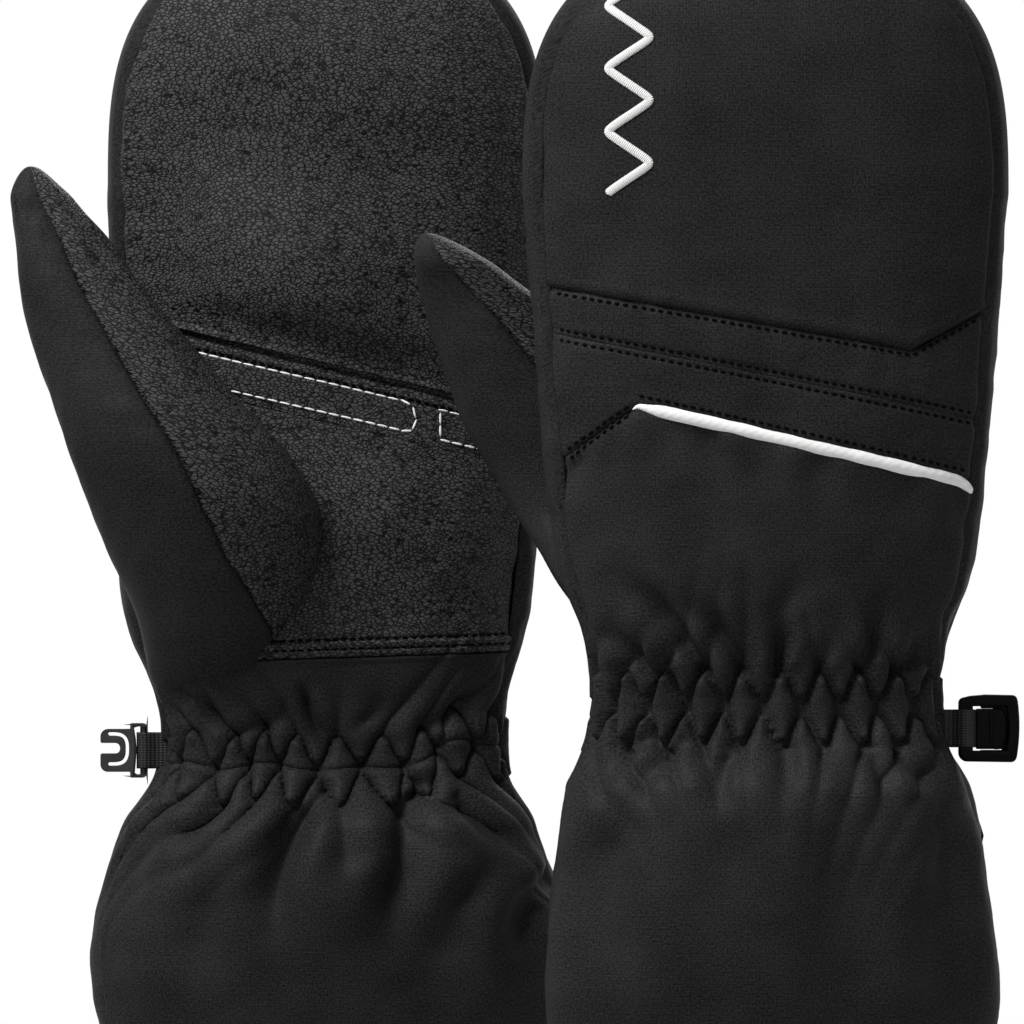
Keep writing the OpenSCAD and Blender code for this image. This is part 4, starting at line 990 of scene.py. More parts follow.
def tab_path(m, start_x, end_x, corner, high=5.2, low=13.4):
    """A path round a tab of the grip strip: along its top, round its end and back. x, high and
    low are mm from the middle and under the fold."""
    turn = np.radians(np.linspace(90, -90, 13))
    inward = -1 if end_x > start_x else 1
    round_top = [(end_x + inward * corner * (1 - math.cos(a)), high + corner * (1 - math.sin(a)))
                 for a in turn[:7]]
    round_low = [(end_x + inward * corner * (1 - math.cos(a)), low - corner * (1 + math.sin(a)))
                 for a in turn[6:]]
    points = np.array([(start_x, high)] + round_top + round_low + [(start_x, low)])
    arcs = np.concatenate([[0], np.cumsum(np.hypot(*np.diff(points, axis=0).T))])

    def path(s):
        x, down = np.interp(s, arcs, points[:, 0]), np.interp(s, arcs, points[:, 1])
        f = x / m["hand_w"]
        return f, fold_z(m, f / EDGE_SHARE) - down
    return path, arcs[-1]


# Matt spun polyester thread with a fine ply: black on the seams and white on the palm. Along
# the gather the dark thread is coloured grey, a painted highlight where it catches the light
def spun_thread(name, colour, roughness):
    thread, thread_out = new_material(name)
    place = node(thread, "TexCoord")
    ply = node(thread, "TexNoise", Vector=place.outputs["Object"], Scale=2600.0, Detail=2.0)
    ply_bump = node(thread, "Bump", Height=ply.outputs[0], Strength=0.5, Distance=0.0002)
    tone = node(thread, "MixRGB", Fac=ply.outputs[0], _1=linear(colour[0]), _2=linear(colour[1]))
    bsdf = node(thread, "BsdfPrincipled", Base_Color=tone.outputs[0], Roughness=roughness,
                Normal=ply_bump.outputs[0])
    bsdf.inputs["Specular IOR Level"].default_value = 0.03
    thread.node_tree.links.new(bsdf.outputs[0], thread_out.inputs[0])
    return thread


black_thread = spun_thread("black_spun_polyester_thread", ("020202", "080808"), 0.8)
# Painted highlight: the gather's dark thread is given a grey colour for the light it catches
gather_thread_painted_highlight = spun_thread("spun_thread_painted_highlight", ("474747", "727272"), 0.7)
white_thread = spun_thread("white_spun_polyester_thread", ("D8D8D6", "F4F4F2"), 0.6)

BLACK_STITCH = {"pitch": 2.3, "length": 1.65, "thick": 0.95}
WHITE_STITCH = {"pitch": 3.35, "length": 3.35, "thick": 0.64}
# Steps across a face and round a ring by which a stitch finds its surface
FACE_SPAN, RING_SPAN = 0.02, 1.5
HEM_ROW_Z, HEM_ROW_SINK = 9.4, -0.75
# Rows of black thread: the seam, where the row starts and ends across, and how far under the seam
BACK_ROWS = [(knuckle_z, -0.96, 0.97, 1.2), (middle_z, -0.96, 0.97, 1.4), (middle_z, -0.96, 0.97, -1.4),
             (piped_z, -0.96, -0.64, 1.2), (piped_z, -0.96, -0.64, -1.2), (piped_z, -0.6, 0.96, -3.0)]
PALM_ROWS = [(fold_z, -0.97, 0.97, 4.1), (palm_hem_z, -0.3, 0.97, -0.1), (palm_hem_z, -0.3, 0.97, -2.7)]
# White rows round the palm's tabs: start, end and corner radius, in mm across
TABS = [(-46, 24.8, 3.6), (55, 31.7, 1.2)]
for side, m in MITTENS.items():
    back_rows = [along_seam(m, *row) for row in BACK_ROWS]
    palm_rows = [along_seam(m, *row) for row in PALM_ROWS]
    back_skin, palm_skin = face_skin(m, BACK), face_skin(m, PALM)
    seams = stitches(m, "black_topstitching", [(back_skin, FACE_SPAN, *row) for row in back_rows]
                     + [(palm_skin, FACE_SPAN, *row) for row in palm_rows],
                     material=black_thread, **BLACK_STITCH)
    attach(seams, side + "_hand")

    def hem_skin(angle, z):
        depth = wrinkles(m, angle, np.full_like(z, HEM_FORM_Z)) + LOFT + HEM_ROW_SINK
        return band_skin(m, angle, z, depth)

    girth = 3.1 * (half_width(m, HEM_ROW_Z) + half_depth(m, HEM_ROW_Z))
    hem_row = (hem_skin, RING_SPAN, lambda s: (360 * s / girth, HEM_ROW_Z + 0 * s), girth)
    hem_stitches = stitches(m, "hem_topstitching", [hem_row], material=black_thread, **BLACK_STITCH)
    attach(hem_stitches, side + "_cuff")
    tabs = [tab_path(m, start, end, corner) for start, end, corner in TABS]
    white = stitches(m, "palm_white_stitching", [(palm_skin, FACE_SPAN, *tab) for tab in tabs],
                     material=white_thread, lift=0.12, **WHITE_STITCH)
    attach(white, side + "_hand")
    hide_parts(side + "_palm_stitching")

# ---- piping and embroidery: white cord in the lower seam, white satin zigzag over the fingers ----
# The piping is a smooth white strip folded over a cord and sewn into the seam, thin at both ends.
# The zigzag is satin stitch, thread laid side by side across the stroke.
# How far before its end a strip stops, so that its last section still has a direction
WELT_END = 0.3


def welt(m, name, face, path, total, size, material, rows, sides=16, lift=0.3):
    """A round or flat strip that lies on one face along a path. size(s) gives half width and
    height in mm."""
    def shape(u, v):
        s = v * (total - WELT_END)
        f, z = path(s)
        here, along, out = surface_frames(m, face_skin(m, face), f, z, *path(s + 0.25))
        sideways = np.cross(along, out)
        wide, high = size(s)
        a = 2 * math.pi * u
        points = (here + sideways * (wide * np.cos(a))[:, None] * MM
                  + out * (high * np.sin(a) + lift)[:, None] * MM)
        local = (points / MM - [m["x"], m["y"], 0]) * [1, m["turn"], 1]
        return local, np.stack([s, wide * np.cos(a)], -1)
    return drape(m, name, [(sides, rows, shape)], material, thick=0, weld=True)


# Bright white bonded PVC strip, smooth with a soft gloss and a faint print of the cord's twist
piping_white, piping_out = new_material("white_bonded_piping_strip")
strip_place = node(piping_white, "UVMap", {"uv_map": "cloth"})
strip_twist = node(piping_white, "TexWave", {"bands_direction": "DIAGONAL"}, Vector=strip_place.outputs[0],
                   Scale=260.0, Distortion=2.0, Detail=2.0)
strip_bump = node(piping_white, "Bump", Height=strip_twist.outputs[1], Strength=0.12, Distance=0.0003)
strip_bsdf = node(piping_white, "BsdfPrincipled", Base_Color=linear("F2F2F1"), Roughness=0.42,
                  Normal=strip_bump.outputs[0])
piping_white.node_tree.links.new(strip_bsdf.outputs[0], piping_out.inputs[0])

# Satin stitch in white rayon: threads 0.45 mm across that lie side by side, with a soft shine
SATIN_THREAD = 0.45 * MM
satin_white, satin_out = new_material("white_rayon_satin_stitch")
satin_place = node(satin_white, "UVMap", {"uv_map": "cloth"})
satin_lines = node(satin_white, "TexWave", {"bands_direction": "X"}, Vector=satin_place.outputs[0],
                   Scale=WAVE_REPEAT / SATIN_THREAD, Distortion=1.5, Detail=2.0)
satin_bump = node(satin_white, "Bump", Height=satin_lines.outputs[1], Strength=0.6, Distance=0.0002)
satin_tone = node(satin_white, "MixRGB", Fac=satin_lines.outputs[1],
                  _1=linear("C9C9C8"), _2=linear("F2F2F0"))
satin_bsdf = node(satin_white, "BsdfPrincipled", Base_Color=satin_tone.outputs[0], Roughness=0.45,
                  Normal=satin_bump.outputs[0])
satin_white.node_tree.links.new(satin_bsdf.outputs[0], satin_out.inputs[0])

# Half width and height of the piping, and how far it sinks under the seam at its outer end
PIPING_HALF, PIPING_HIGH, PIPING_DIP = 1.8, 1.4, 2.2
# The zigzag: strokes, height of each, its turns across, its lowest place under the finger end,
# and half width and height of the stitching
ZIGZAG_BARS, ZIGZAG_PITCH, ZIGZAG_INNER, ZIGZAG_OUTER = 7, 8.2, -0.48, -0.645
ZIGZAG_FIRST, ZIGZAG_HALF, ZIGZAG_HIGH = 68, 1.15, 0.5
for side, m in MITTENS.items():
    route, total = along_seam(m, piped_z, -0.635, 0.995)

    def piping_path(s):
        f, z = route(s)
        return f, z - PIPING_DIP * ease((s - total + 5) / 5) ** 2

    def piping_size(s):
        point = np.clip(s / 7, 0.02, 1) ** 0.7 * np.sqrt(np.clip((total - s) / 2.5, 0.01, 1))
        return PIPING_HALF * point, PIPING_HIGH * point

    piping = welt(m, "piping_cord_strip", BACK, piping_path, total, piping_size, piping_white, 150)
    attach(piping, side + "_hand")
    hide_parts(side + "_piping")

    bar = math.hypot(ZIGZAG_PITCH, (ZIGZAG_INNER - ZIGZAG_OUTER) * m["hand_w"])

    def zigzag_path(s):
        step = s / bar
        swing = 0.5 + np.arcsin(0.97 * np.cos(math.pi * step)) / math.pi / 0.844
        return (ZIGZAG_INNER + (ZIGZAG_OUTER - ZIGZAG_INNER) * swing,
                m["top_z"] - ZIGZAG_FIRST + ZIGZAG_PITCH * step)

    def zigzag_size(s):
        end = np.sqrt(np.clip(np.minimum(s, bar * ZIGZAG_BARS - s) / 0.8, 0.01, 1))
        return ZIGZAG_HALF * end, ZIGZAG_HIGH * end

    zigzag = welt(m, "zigzag_embroidery", BACK, zigzag_path, bar * ZIGZAG_BARS, zigzag_size,
                  satin_white, 260, lift=0.15)
    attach(zigzag, side + "_hand")
    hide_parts(side + "_embroidery")

# ---- elastic: two knitted bands inside the wrist, and the thread that gathers the palm ----
# The bands are sewn to the inside of the shell while stretched, so they ruffle with it. On the
# palm side a dark thread runs over the cloth along the gather's middle, coloured grey as a painted highlight.
# Flat knitted elastic with rubber cores 1 mm apart, matt and ribbed lengthwise
CORE_PITCH = 1.0 * MM
elastic_tape, elastic_out = new_material("knitted_elastic_tape")
tape_place = node(elastic_tape, "UVMap", {"uv_map": "cloth"})
tape_cores = node(elastic_tape, "TexWave", {"bands_direction": "Y"}, Vector=tape_place.outputs[0],
                  Scale=WAVE_REPEAT / CORE_PITCH, Distortion=0.6, Detail=1.0)
tape_bump = node(elastic_tape, "Bump", Height=tape_cores.outputs[1], Strength=0.5, Distance=0.0003)
tape_shade = node(elastic_tape, "MixRGB", Fac=tape_cores.outputs[1],
                  _1=linear("2D2E31"), _2=linear("494B4E"))
tape_bsdf = node(elastic_tape, "BsdfPrincipled", Base_Color=tape_shade.outputs[0], Roughness=0.8,
                 Normal=tape_bump.outputs[0])
elastic_tape.node_tree.links.new(tape_bsdf.outputs[0], elastic_out.inputs[0])

# Thickness of a band, and its near and far edge from the middle of the gather
ELASTIC_T, ELASTIC_LOW, ELASTIC_HIGH = 0.8, 2.2, 7.2
GATHER_THREAD_HALF, GATHER_THREAD_HIGH = 0.35, 0.3


def deepest(m, angle, z):
    """The deepest that the shell lies near a place, so that what is under it stays under it."""
    return np.maximum.reduce([wrinkles(m, angle + turn, z + rise)
                              for turn in (-3, 0, 3) for rise in (-1.4, 0, 1.4)])


def elastic_band(m, sign):
    """shape() of one band round the wrist, just inside the shell."""
    def shape(u, v):
        angle = 360 * u
        z = m["wrist_z"] + sign * (ELASTIC_LOW + (ELASTIC_HIGH - ELASTIC_LOW) * v)
        return band_skin(m, angle, z, deepest(m, angle, z) + SHELL_T + 0.3), np.stack([angle, z], -1)
    return shape


for side, m in MITTENS.items():
    bands = drape(m, "wrist_elastic_bands", [(300, 6, elastic_band(m, 1)), (300, 6, elastic_band(m, -1))],
                  elastic_tape, thick=ELASTIC_T, weld=True)
    blend_wrist(bands)
    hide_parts(side + "_wrist_elastic")

    def gather_route(m, g):
        return m["wrist_z"] + gather_line(m, angle_of(PALM, g * EDGE_SHARE))

    route, total = along_seam(m, gather_route, -0.98, 0.98)
    thread = welt(m, "gather_thread", PALM, route, total,
                  lambda s: (GATHER_THREAD_HALF + 0 * s, GATHER_THREAD_HIGH + 0 * s),
                  gather_thread_painted_highlight, 200, sides=8, lift=0.12)
    blend_wrist(thread)

# ---- insulation: polyester wadding behind the back, the palm and the thumb ----
# Soft white wadding, cut to the panels and quilted to the lining, fills the mitten between
# the shell and the lining.
# White hollow-fibre wadding: fine tangled fibres with no shine
wadding, wadding_out = new_material("hollow_fibre_wadding")
fibre_place = node(wadding, "TexCoord")
fibres = node(wadding, "TexNoise", Vector=fibre_place.outputs["Object"], Scale=420.0, Detail=8.0,
              Roughness=0.75, Distortion=1.5)
fibre_bump = node(wadding, "Bump", Height=fibres.outputs[0], Strength=0.6, Distance=0.0008)
fibre_shade = node(wadding, "MixRGB", Fac=fibres.outputs[0], _1=linear("CFCFCB"), _2=linear("F1F1EE"))
fibre_bsdf = node(wadding, "BsdfPrincipled", Base_Color=fibre_shade.outputs[0], Roughness=0.95,
                  Normal=fibre_bump.outputs[0])
wadding.node_tree.links.new(fibre_bsdf.outputs[0], wadding_out.inputs[0])

# How deep the wadding's outer side lies under the shell's, and its thickness in hand and thumb
UNDER_SHELL = 2.3
HAND_FILL, THUMB_FILL = 3.4, 2.0
HAND_FILL_GRID, THUMB_FILL_GRID = (72, 90), (56, 60)
THUMB_FILL_FOOT = 70


def fill_panel(m, face):
    """shape() of the wadding behind one face, from the gather up to the finger end."""
    def shape(u, v):
        f = around(column(u))[0] * 0.97
        g = f / EDGE_SHARE
        top = m["tip_z"] + TIP_H * EDGE_SHARE * 0.97
        z = m["gather_top"] + 1 + (top - m["gather_top"] - 1) * (1 - (1 - v) ** 1.6)
        f = g * reach(m, z)
        return (hand_skin(m, f, z, face, face_depth(m, face, f, z) + UNDER_SHELL),
                np.stack([f * half_width(m, z), z], -1))
    return shape


def thumb_sleeve(m, sink, low):
    """shape() of a sleeve inside the thumb, sink mm deep, closed at its tip. low is where it
    starts, over the wrist."""
    def shape(u, v):
        foot = m["wrist_z"] + low
        tip = THUMBS[m["side"]][-1][0] - 2.4 * sink - 1
        z = foot + (tip - foot) * np.sin(v * math.pi / 2)
        angle = 360 * u
        outer = thumb_skin(m, angle, z, thumb_depth(m, angle, z) + sink)
        core = thumb_skin(m, angle, z, 99.0)
        close = np.sqrt(np.clip(1 - ((z - tip + 7) / 7).clip(0) ** 2, 0, 1))[:, None]
        return core + (outer - core) * close, np.stack([angle * 0.4, z], -1)
    return shape


for side, m in MITTENS.items():
    for name, face in (("back", BACK), ("palm", PALM)):
        fill = drape(m, "hand_" + name + "_wadding", [(*HAND_FILL_GRID, fill_panel(m, face))], wadding,
                     thick=HAND_FILL)
        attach(fill, side + "_hand")
        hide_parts(side + "_hand_" + name + "_insulation")
    sleeve = drape(m, "thumb_wadding", [
        (*THUMB_FILL_GRID, thumb_sleeve(m, UNDER_SHELL, THUMB_FILL_FOOT))],
        wadding, thick=THUMB_FILL, weld=True)
    blend_thumb(sleeve)
    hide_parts(side + "_thumb_insulation")

# ---- linings: a sock in the hand, a sleeve in the thumb and a tube in the gauntlet ----
# Brushed tricot, sewn as loose tubes and turned inwards. The gauntlet's tube is caught in the
# hem and under the elastic.
# Dark brushed tricot: a short fine nap that shows paler at grazing angles
tricot, tricot_out = new_material("brushed_tricot_lining")
nap_place = node(tricot, "UVMap", {"uv_map": "cloth"})
nap = node(tricot, "TexNoise", Vector=nap_place.outputs[0], Scale=1500.0, Detail=6.0, Roughness=0.7)
nap_brushed = node(tricot, "TexNoise", Vector=nap_place.outputs[0], Scale=60.0, Detail=4.0)
nap_bump = node(tricot, "Bump", Height=nap.outputs[0], Strength=0.4, Distance=0.0004)
nap_shade = node(tricot, "MixRGB", Fac=nap_brushed.outputs[0], _1=linear("27282A"), _2=linear("3A3B3F"))
nap_bsdf = node(tricot, "BsdfPrincipled", Base_Color=nap_shade.outputs[0], Roughness=0.9,
                Normal=nap_bump.outputs[0])
nap_bsdf.inputs["Sheen Weight"].default_value = 0.35
nap_bsdf.inputs["Sheen Roughness"].default_value = 0.5
nap_bsdf.inputs["Specular IOR Level"].default_value = 0.1
tricot.node_tree.links.new(nap_bsdf.outputs[0], tricot_out.inputs[0])

# Thickness of the lining, how deep it lies under the shell's outer side, and where its gauntlet
# tube starts over the hem and its thumb sleeve over the wrist
LINING_T = 1.0
HAND_LINING_SINK, THUMB_LINING_SINK, CUFF_LINING_SINK = 5.9, 4.6, 2.4
LINING_FOOT, THUMB_LINING_FOOT = 10, 62


def lining_sock(m):
    """shape() of the hand's lining, once round in u and from the gather to the closed end."""
    def shape(u, v):
        angle = 360 * u
        top = m["tip_z"] + TIP_H
        low = m["gather_top"] + 1
        z = low + (top - low) * np.sin(v * math.pi / 2)
        across, deep = around(angle)
        f = across * reach(m, z, 1.0)
        palm, back = (face_depth(m, face, np.clip(f, -EDGE_SHARE, EDGE_SHARE), z)
                      for face in (PALM, BACK))
        share = ease((deep + 0.35) / 0.7)
        depth = palm * share + back * (1 - share) + HAND_LINING_SINK
        points = np.where((deep > 0)[:, None], hand_skin(m, f, z, PALM, depth),
                          hand_skin(m, f, z, BACK, depth))
        return points, np.stack([angle, z], -1)
    return shape


def lining_tube(m):
    """shape() of the gauntlet's lining, from inside the hem's fold up to the gather."""
    def shape(u, v):
        angle = 360 * u
        z = LINING_FOOT + (m["gather_low"] - LINING_FOOT) * v
        tucked = 1 - ease((z - LINING_FOOT) / 9)
        depth = wrinkles(m, angle, np.maximum(z, 12)) + CUFF_LINING_SINK - 0.3 * tucked
        return band_skin(m, angle, z, depth), np.stack([angle, z], -1)
    return shape


for side, m in MITTENS.items():
    for name, cad, columns, rows, shape, body in (
            ("hand_lining_sock", "_hand_lining", 110, 96, lining_sock(m), "_hand"),
            ("cuff_lining_tube", "_cuff_lining", 200, 60, lining_tube(m), "_cuff"),
            ("thumb_lining_sleeve", "_thumb_lining", 48, 50,
             thumb_sleeve(m, THUMB_LINING_SINK, THUMB_LINING_FOOT), None)):
        piece = drape(m, name, [(columns, rows, shape)], tricot, thick=LINING_T, weld=True)
        if body:
            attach(piece, side + body)
        else:
            blend_thumb(piece)
        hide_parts(side + cad)

# ---- webbing tabs: doubled loops of narrow webbing that hold the clips ----
# A 10 mm strip is sewn into the side of the wrist, and runs round the clip's bar and back.
# Narrow black polyester webbing, ribbed across every 1.1 mm and slightly shiny on the ribs
RIB_PITCH, WARP_PITCH = 1.1 * MM, 0.7 * MM
webbing, webbing_out = new_material("woven_polyester_webbing")
web_place = node(webbing, "UVMap", {"uv_map": "cloth"})
web_ribs = node(webbing, "TexWave", {"bands_direction": "Y"}, Vector=web_place.outputs[0],
                Scale=WAVE_REPEAT / RIB_PITCH, Distortion=0.8, Detail=2.0)
web_ends = node(webbing, "TexWave", {"bands_direction": "X"}, Vector=web_place.outputs[0],
                Scale=WAVE_REPEAT / WARP_PITCH, Distortion=0.8, Detail=2.0)
web_high = node(webbing, "Math", {"operation": "MULTIPLY"}, _0=web_ribs.outputs[1], _1=web_ends.outputs[1])
web_bump = node(webbing, "Bump", Height=web_high.outputs[0], Strength=0.7, Distance=0.0003)
web_shade = node(webbing, "MixRGB", Fac=web_high.outputs[0], _1=linear("131315"), _2=linear("272829"))
web_bsdf = node(webbing, "BsdfPrincipled", Base_Color=web_shade.outputs[0], Roughness=0.6,
                Normal=web_bump.outputs[0])
web_bsdf.inputs["Specular IOR Level"].default_value = 0.25
webbing.node_tree.links.new(web_bsdf.outputs[0], webbing_out.inputs[0])

# The strip's width and thickness, its gap to the bar, and its length from the bar to the wrist
WEB_W, WEB_T, BAR_GAP = 10, 0.8, 0.2
WEB_ROOT = 7.5
# Which way each clip points and the radius of its bar
CLIPS = {"left": {"out": -1, "bar_r": 1.0}, "right": {"out": 1, "bar_r": 1.6}}
for side, clip in CLIPS.items():
    clip["axis"] = np.array(JOINTS[side + "_clip_swing"]["pos_m"]) / MM


def web_loop(m, clip):
    """shape() of the strip: out from the side seam, round the clip's bar and back."""
    def shape(u, v):
        round_r = clip["bar_r"] + BAR_GAP + WEB_T
        arc = math.pi * round_r
        s = (2 * v - 1) * (WEB_ROOT + arc / 2)
        on_bar = np.clip(s / round_r, -math.pi / 2, math.pi / 2)
        back = np.maximum(np.abs(s) - arc / 2, 0)
        leg = WEB_T + 0.05 + (round_r - WEB_T - 0.05) * (1 - ease(back / 4.2))
        a = np.where(back > 0, -back, round_r * np.cos(on_bar))
        y = np.where(back > 0, np.sign(s) * leg, round_r * np.sin(on_bar))
        wide = (u - 0.5) * WEB_W
        place = np.stack([clip["axis"][0] - m["x"] + clip["out"] * a, y, clip["axis"][2] + wide], -1)
        return place, np.stack([wide + 5, s + 20], -1)
    return shape


for side, m in MITTENS.items():
    tab = drape(m, "webbing_loop", [(14, 64, web_loop(m, CLIPS[side]))], webbing, thick=WEB_T)
    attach(tab, side + "_cuff")
    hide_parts(side + "_webbing_tab")

# ---- clips: a hook on the left mitten and a frame on the right one, to clip the pair together ----
# Both are moulded in black acetal and swing on a bar in their webbing. The hook is a flat tongue
# with a sprung U cut free in it. The frame holds a tongue with a bowed thumb lip.


def rounded(corners):
    """A flat outline whose corners (a, h, radius) are rounded by arcs, in mm."""
    outline = []
    for i, (a, h, radius) in enumerate(corners):
        here = Vector((a, h))
        before = (Vector(corners[i - 1][:2]) - here).normalized()
        after = (Vector(corners[(i + 1) % len(corners)][:2]) - here).normalized()
        half = before.angle(after) / 2
        if radius == 0 or half > 1.5:
            outline.append((a, h))
            continue
        centre = here + (before + after).normalized() * radius / math.sin(half)
        start, end = (here + way * radius / math.tan(half) - centre for way in (before, after))
        outline += [tuple(centre + start.slerp(end, t / 5).normalized() * radius) for t in range(6)]
    return outline


def slit(route, width):
    """The outline of a slit of one width along a route, with blunt ends."""
    route = np.array(route, float)
    along = np.gradient(route, axis=0)
    along /= np.linalg.norm(along, axis=1)[:, None]
    side_on = np.stack([-along[:, 1], along[:, 0]], -1) * width / 2
    far, near = route[-1] + along[-1] * width * 0.4, route[0] - along[0] * width * 0.4
    return [*map(tuple, route + side_on), tuple(far), *map(tuple, (route - side_on)[::-1]), tuple(near)]


def bowed(start, end, bow, count=9):
    """Corners from start to end that bow sideways by bow mm at the middle, each with radius 0."""
    (a0, h0), (a1, h1) = start, end
    return [(a0 + (a1 - a0) * t + bow * 4 * t * (1 - t), h0 + (h1 - h0) * t, 0)
            for t in (i / (count - 1) for i in range(count))]


def plate(bm, outlines, thick, level=0.0, edge=0.2):
    """Adds a flat moulding to bm: the first outline with the others as holes, rounded at its
    edges by edge mm, which are added to the outline. level is how far forward its middle lies."""
    flat = bpy.data.curves.new("outline", "CURVE")
    flat.dimensions = "2D"
    flat.fill_mode = "BOTH"
    flat.extrude = thick / 2 - edge
    flat.bevel_depth = edge
    flat.bevel_resolution = 2
    for outline in outlines:
        spline = flat.splines.new("POLY")
        spline.points.add(len(outline) - 1)
        spline.points.foreach_set("co", [part for a, h in outline for part in (a, h, 0.0, 1.0)])
        spline.use_cyclic_u = True
    holder = bpy.data.objects.new("outline", flat)
    mesh = bpy.data.meshes.new_from_object(holder)
    first = len(bm.verts)
    bm.from_mesh(mesh)
    bm.verts.ensure_lookup_table()
    for vert in bm.verts[first:]:
        vert.co.z += level
    bpy.data.objects.remove(holder)


def bar(bm, radius, length):
    """Adds the round bar that the webbing holds."""
    bmesh.ops.create_cone(bm, cap_ends=True, segments=32, radius1=radius, radius2=radius, depth=length,
                          matrix=Matrix.Rotation(math.radians(90), 4, "X"))


def mould(side, name, bm, material, cad):
    """Sets a clip in its place: a outwards, h upwards, its front towards the mitten's front."""
    clip = CLIPS[side]
    place = Matrix(((clip["out"], 0, 0), (0, 0, -clip["out"]), (0, 1, 0))).to_4x4()
    bmesh.ops.remove_doubles(bm, verts=bm.verts, dist=0.001)
    bmesh.ops.scale(bm, vec=(MM, MM, MM), verts=bm.verts)
    bmesh.ops.transform(bm, matrix=Matrix.Translation(Vector(clip["axis"]) * MM) @ place, verts=bm.verts)
    bmesh.ops.recalc_face_normals(bm, faces=bm.faces)
    piece = new_piece(side + "_" + name, bm, material)
    piece.data.set_sharp_from_angle(angle=math.radians(35))
    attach(piece, side + "_clip")
    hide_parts(side + cad)


# Moulded acetal, matt: fine spark-eroded texture from the mould. Gloss: polished mould, with
# faint flow marks.
def acetal(name, colours, roughness, grain, strength, mirror):
    plastic, plastic_out = new_material(name)
    place = node(plastic, "TexCoord")
    texture = node(plastic, "TexNoise", Vector=place.outputs["Object"], Scale=grain, Detail=3.0)
    bump = node(plastic, "Bump", Height=texture.outputs[0], Strength=strength, Distance=0.0002)
    wear = node(plastic, "TexNoise", Vector=place.outputs["Object"], Scale=320.0, Detail=3.0)
    tone = node(plastic, "MixRGB", Fac=wear.outputs[0], _1=linear(colours[0]), _2=linear(colours[1]))
    rough = node(plastic, "MapRange", Value=wear.outputs[0],
                 To_Min=roughness - 0.06, To_Max=roughness + 0.08)
    bsdf = node(plastic, "BsdfPrincipled", Base_Color=tone.outputs[0], Roughness=rough.outputs[0],
                Normal=bump.outputs[0])
    bsdf.inputs["Specular IOR Level"].default_value = mirror
    plastic.node_tree.links.new(bsdf.outputs[0], plastic_out.inputs[0])
    return plastic


matt_acetal = acetal("moulded_matt_acetal", ("1B1C1E", "28292A"), 0.5, 4000.0, 0.35, 0.3)
gloss_acetal = acetal("moulded_gloss_acetal", ("030303", "080808"), 0.2, 900.0, 0.08, 0.045)

# Thickness of each clip and length of its bar, how far the hook's rib stands out, and the width
# of the hook's U-shaped cut and the thickness of the frame's rear wall
HOOK_T, FRAME_T = 3.2, 3.6
HOOK_BAR, FRAME_BAR = 14.2, 14.4
RIB_PROUD, CUT_W, REAR_WALL = 0.7, 1.35, 1.5
# Outlines in mm: outwards from the bar, upwards, and the corner's radius
hook = bmesh.new()
hook_outline = rounded([
    (-0.9, -7.5, 1.2), (3.7, -7.5, 0.4), (3.7, -5.9, 0.3), (11.9, -5.9, 2.0), (11.9, -0.85, 0.5),
    (6.5, -0.85, 1.3), (6.5, 2.05, 1.3), (11.9, 2.05, 0.5), (11.9, 5.9, 2.0), (3.7, 5.9, 0.3),
    (3.7, 7.5, 0.4), (-0.9, 7.5, 1.2), (-0.9, 6.6, 0.3), (1.5, 6.6, 0.6), (2.7, 6.2, 0), (2.2, 3.0, 0),
    (2.0, 0, 0), (2.2, -3.0, 0), (2.5, -6.2, 0), (1.9, -6.6, 0.3), (-0.9, -6.6, 0.3)])
turn = np.radians(np.linspace(90, -90, 25))
spring_cut = slit(np.stack([9.6 - 5.1 * signed_power(np.cos(turn), 0.5),
                            0.4 + 4.15 * signed_power(np.sin(turn), 0.75)], -1), CUT_W)
plate(hook, [hook_outline, spring_cut], HOOK_T)
plate(hook, [rounded([(2.9, -7.2, 0.3), (3.4, -7.2, 0.3), *bowed((3.4, -6), (3.4, 6), -0.4),
                      (3.4, 7.2, 0.3), (2.9, 7.2, 0.3), *bowed((2.9, 6), (2.9, -6), -0.4)])],
      HOOK_T + RIB_PROUD)
bar(hook, CLIPS["left"]["bar_r"], HOOK_BAR)
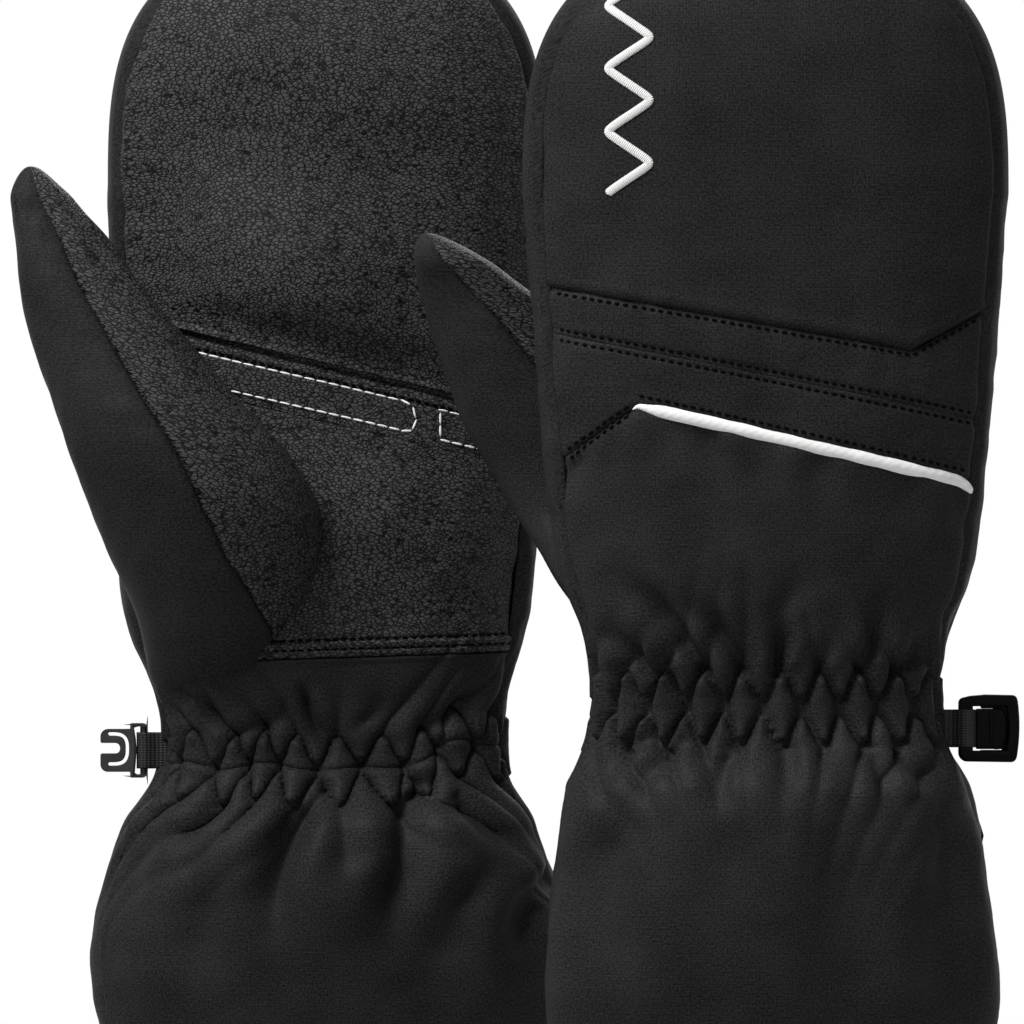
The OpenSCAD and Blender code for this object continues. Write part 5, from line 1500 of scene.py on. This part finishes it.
mould("left", "hook_clip_moulding", hook, matt_acetal, "_hook_clip")

ring = bmesh.new()
ring_outline = rounded([(-1.4, -8.0, 1.6), (12.4, -8.2, 0.8), *bowed((12.7, -7), (12.9, 7), 0.5),
                        (12.6, 8.1, 0.7), (5.0, 8.25, 0), (1.0, 7.9, 0), (-1.4, 7.3, 0.8)])
front_hole = rounded([(1.0, -6.6, 0.8), (11.0, -6.6, 0.8), *bowed((11.3, -5.6), (11.3, 5.6), 0.6),
                      (11.0, 6.6, 0.8), (1.0, 6.6, 0.8)])
back_hole = rounded([(1.0, -6.5, 0.3), (3.6, -6.5, 0.4), (3.8, -5.9, 0.2), (9.4, -5.9, 0.2), (9.9, -5.3, 0.2),
                     (2.75, -5.3, 0.2), (2.75, 5.0, 0.2), (9.6, 5.0, 0.1), (9.6, 5.45, 0.1), (4.0, 5.45, 0.2),
                     (4.0, 6.5, 0.4), (1.0, 6.5, 0.3)])
plate(ring, [ring_outline, front_hole], FRAME_T - 1.2, level=0.6, edge=0.75)
plate(ring, [ring_outline, back_hole], REAR_WALL, level=-FRAME_T / 2 + REAR_WALL / 2)
# The tongue: its flat part, a thin ridge and a lip with a bowed edge
TONGUE_T, RIDGE_T, LIP_T = 1.8, 2.4, 2.2
plate(ring, [rounded([(2.95, -4.9, 0.6), (6.3, -5.0, 0.3), (6.3, 4.7, 0.3), (2.95, 4.6, 0.6)])],
      TONGUE_T, level=-0.1)
plate(ring, [rounded([(6.4, -5.0, 0.2), (6.9, -4.9, 0.2), (7.0, 4.7, 0.2), (6.3, 4.8, 0.2)])],
      RIDGE_T, level=0.1)
plate(ring, [rounded([(7.3, -4.9, 0.4), (9.4, -4.8, 0.6), *bowed((9.6, -4), (9.5, 3.6), 0.6),
                      (9.0, 4.7, 0.5), (7.3, 4.7, 0.3)])], LIP_T, level=-0.05, edge=0.7)
bar(ring, CLIPS["right"]["bar_r"], FRAME_BAR)
mould("right", "frame_clip_moulding", ring, gloss_acetal, "_frame_clip")
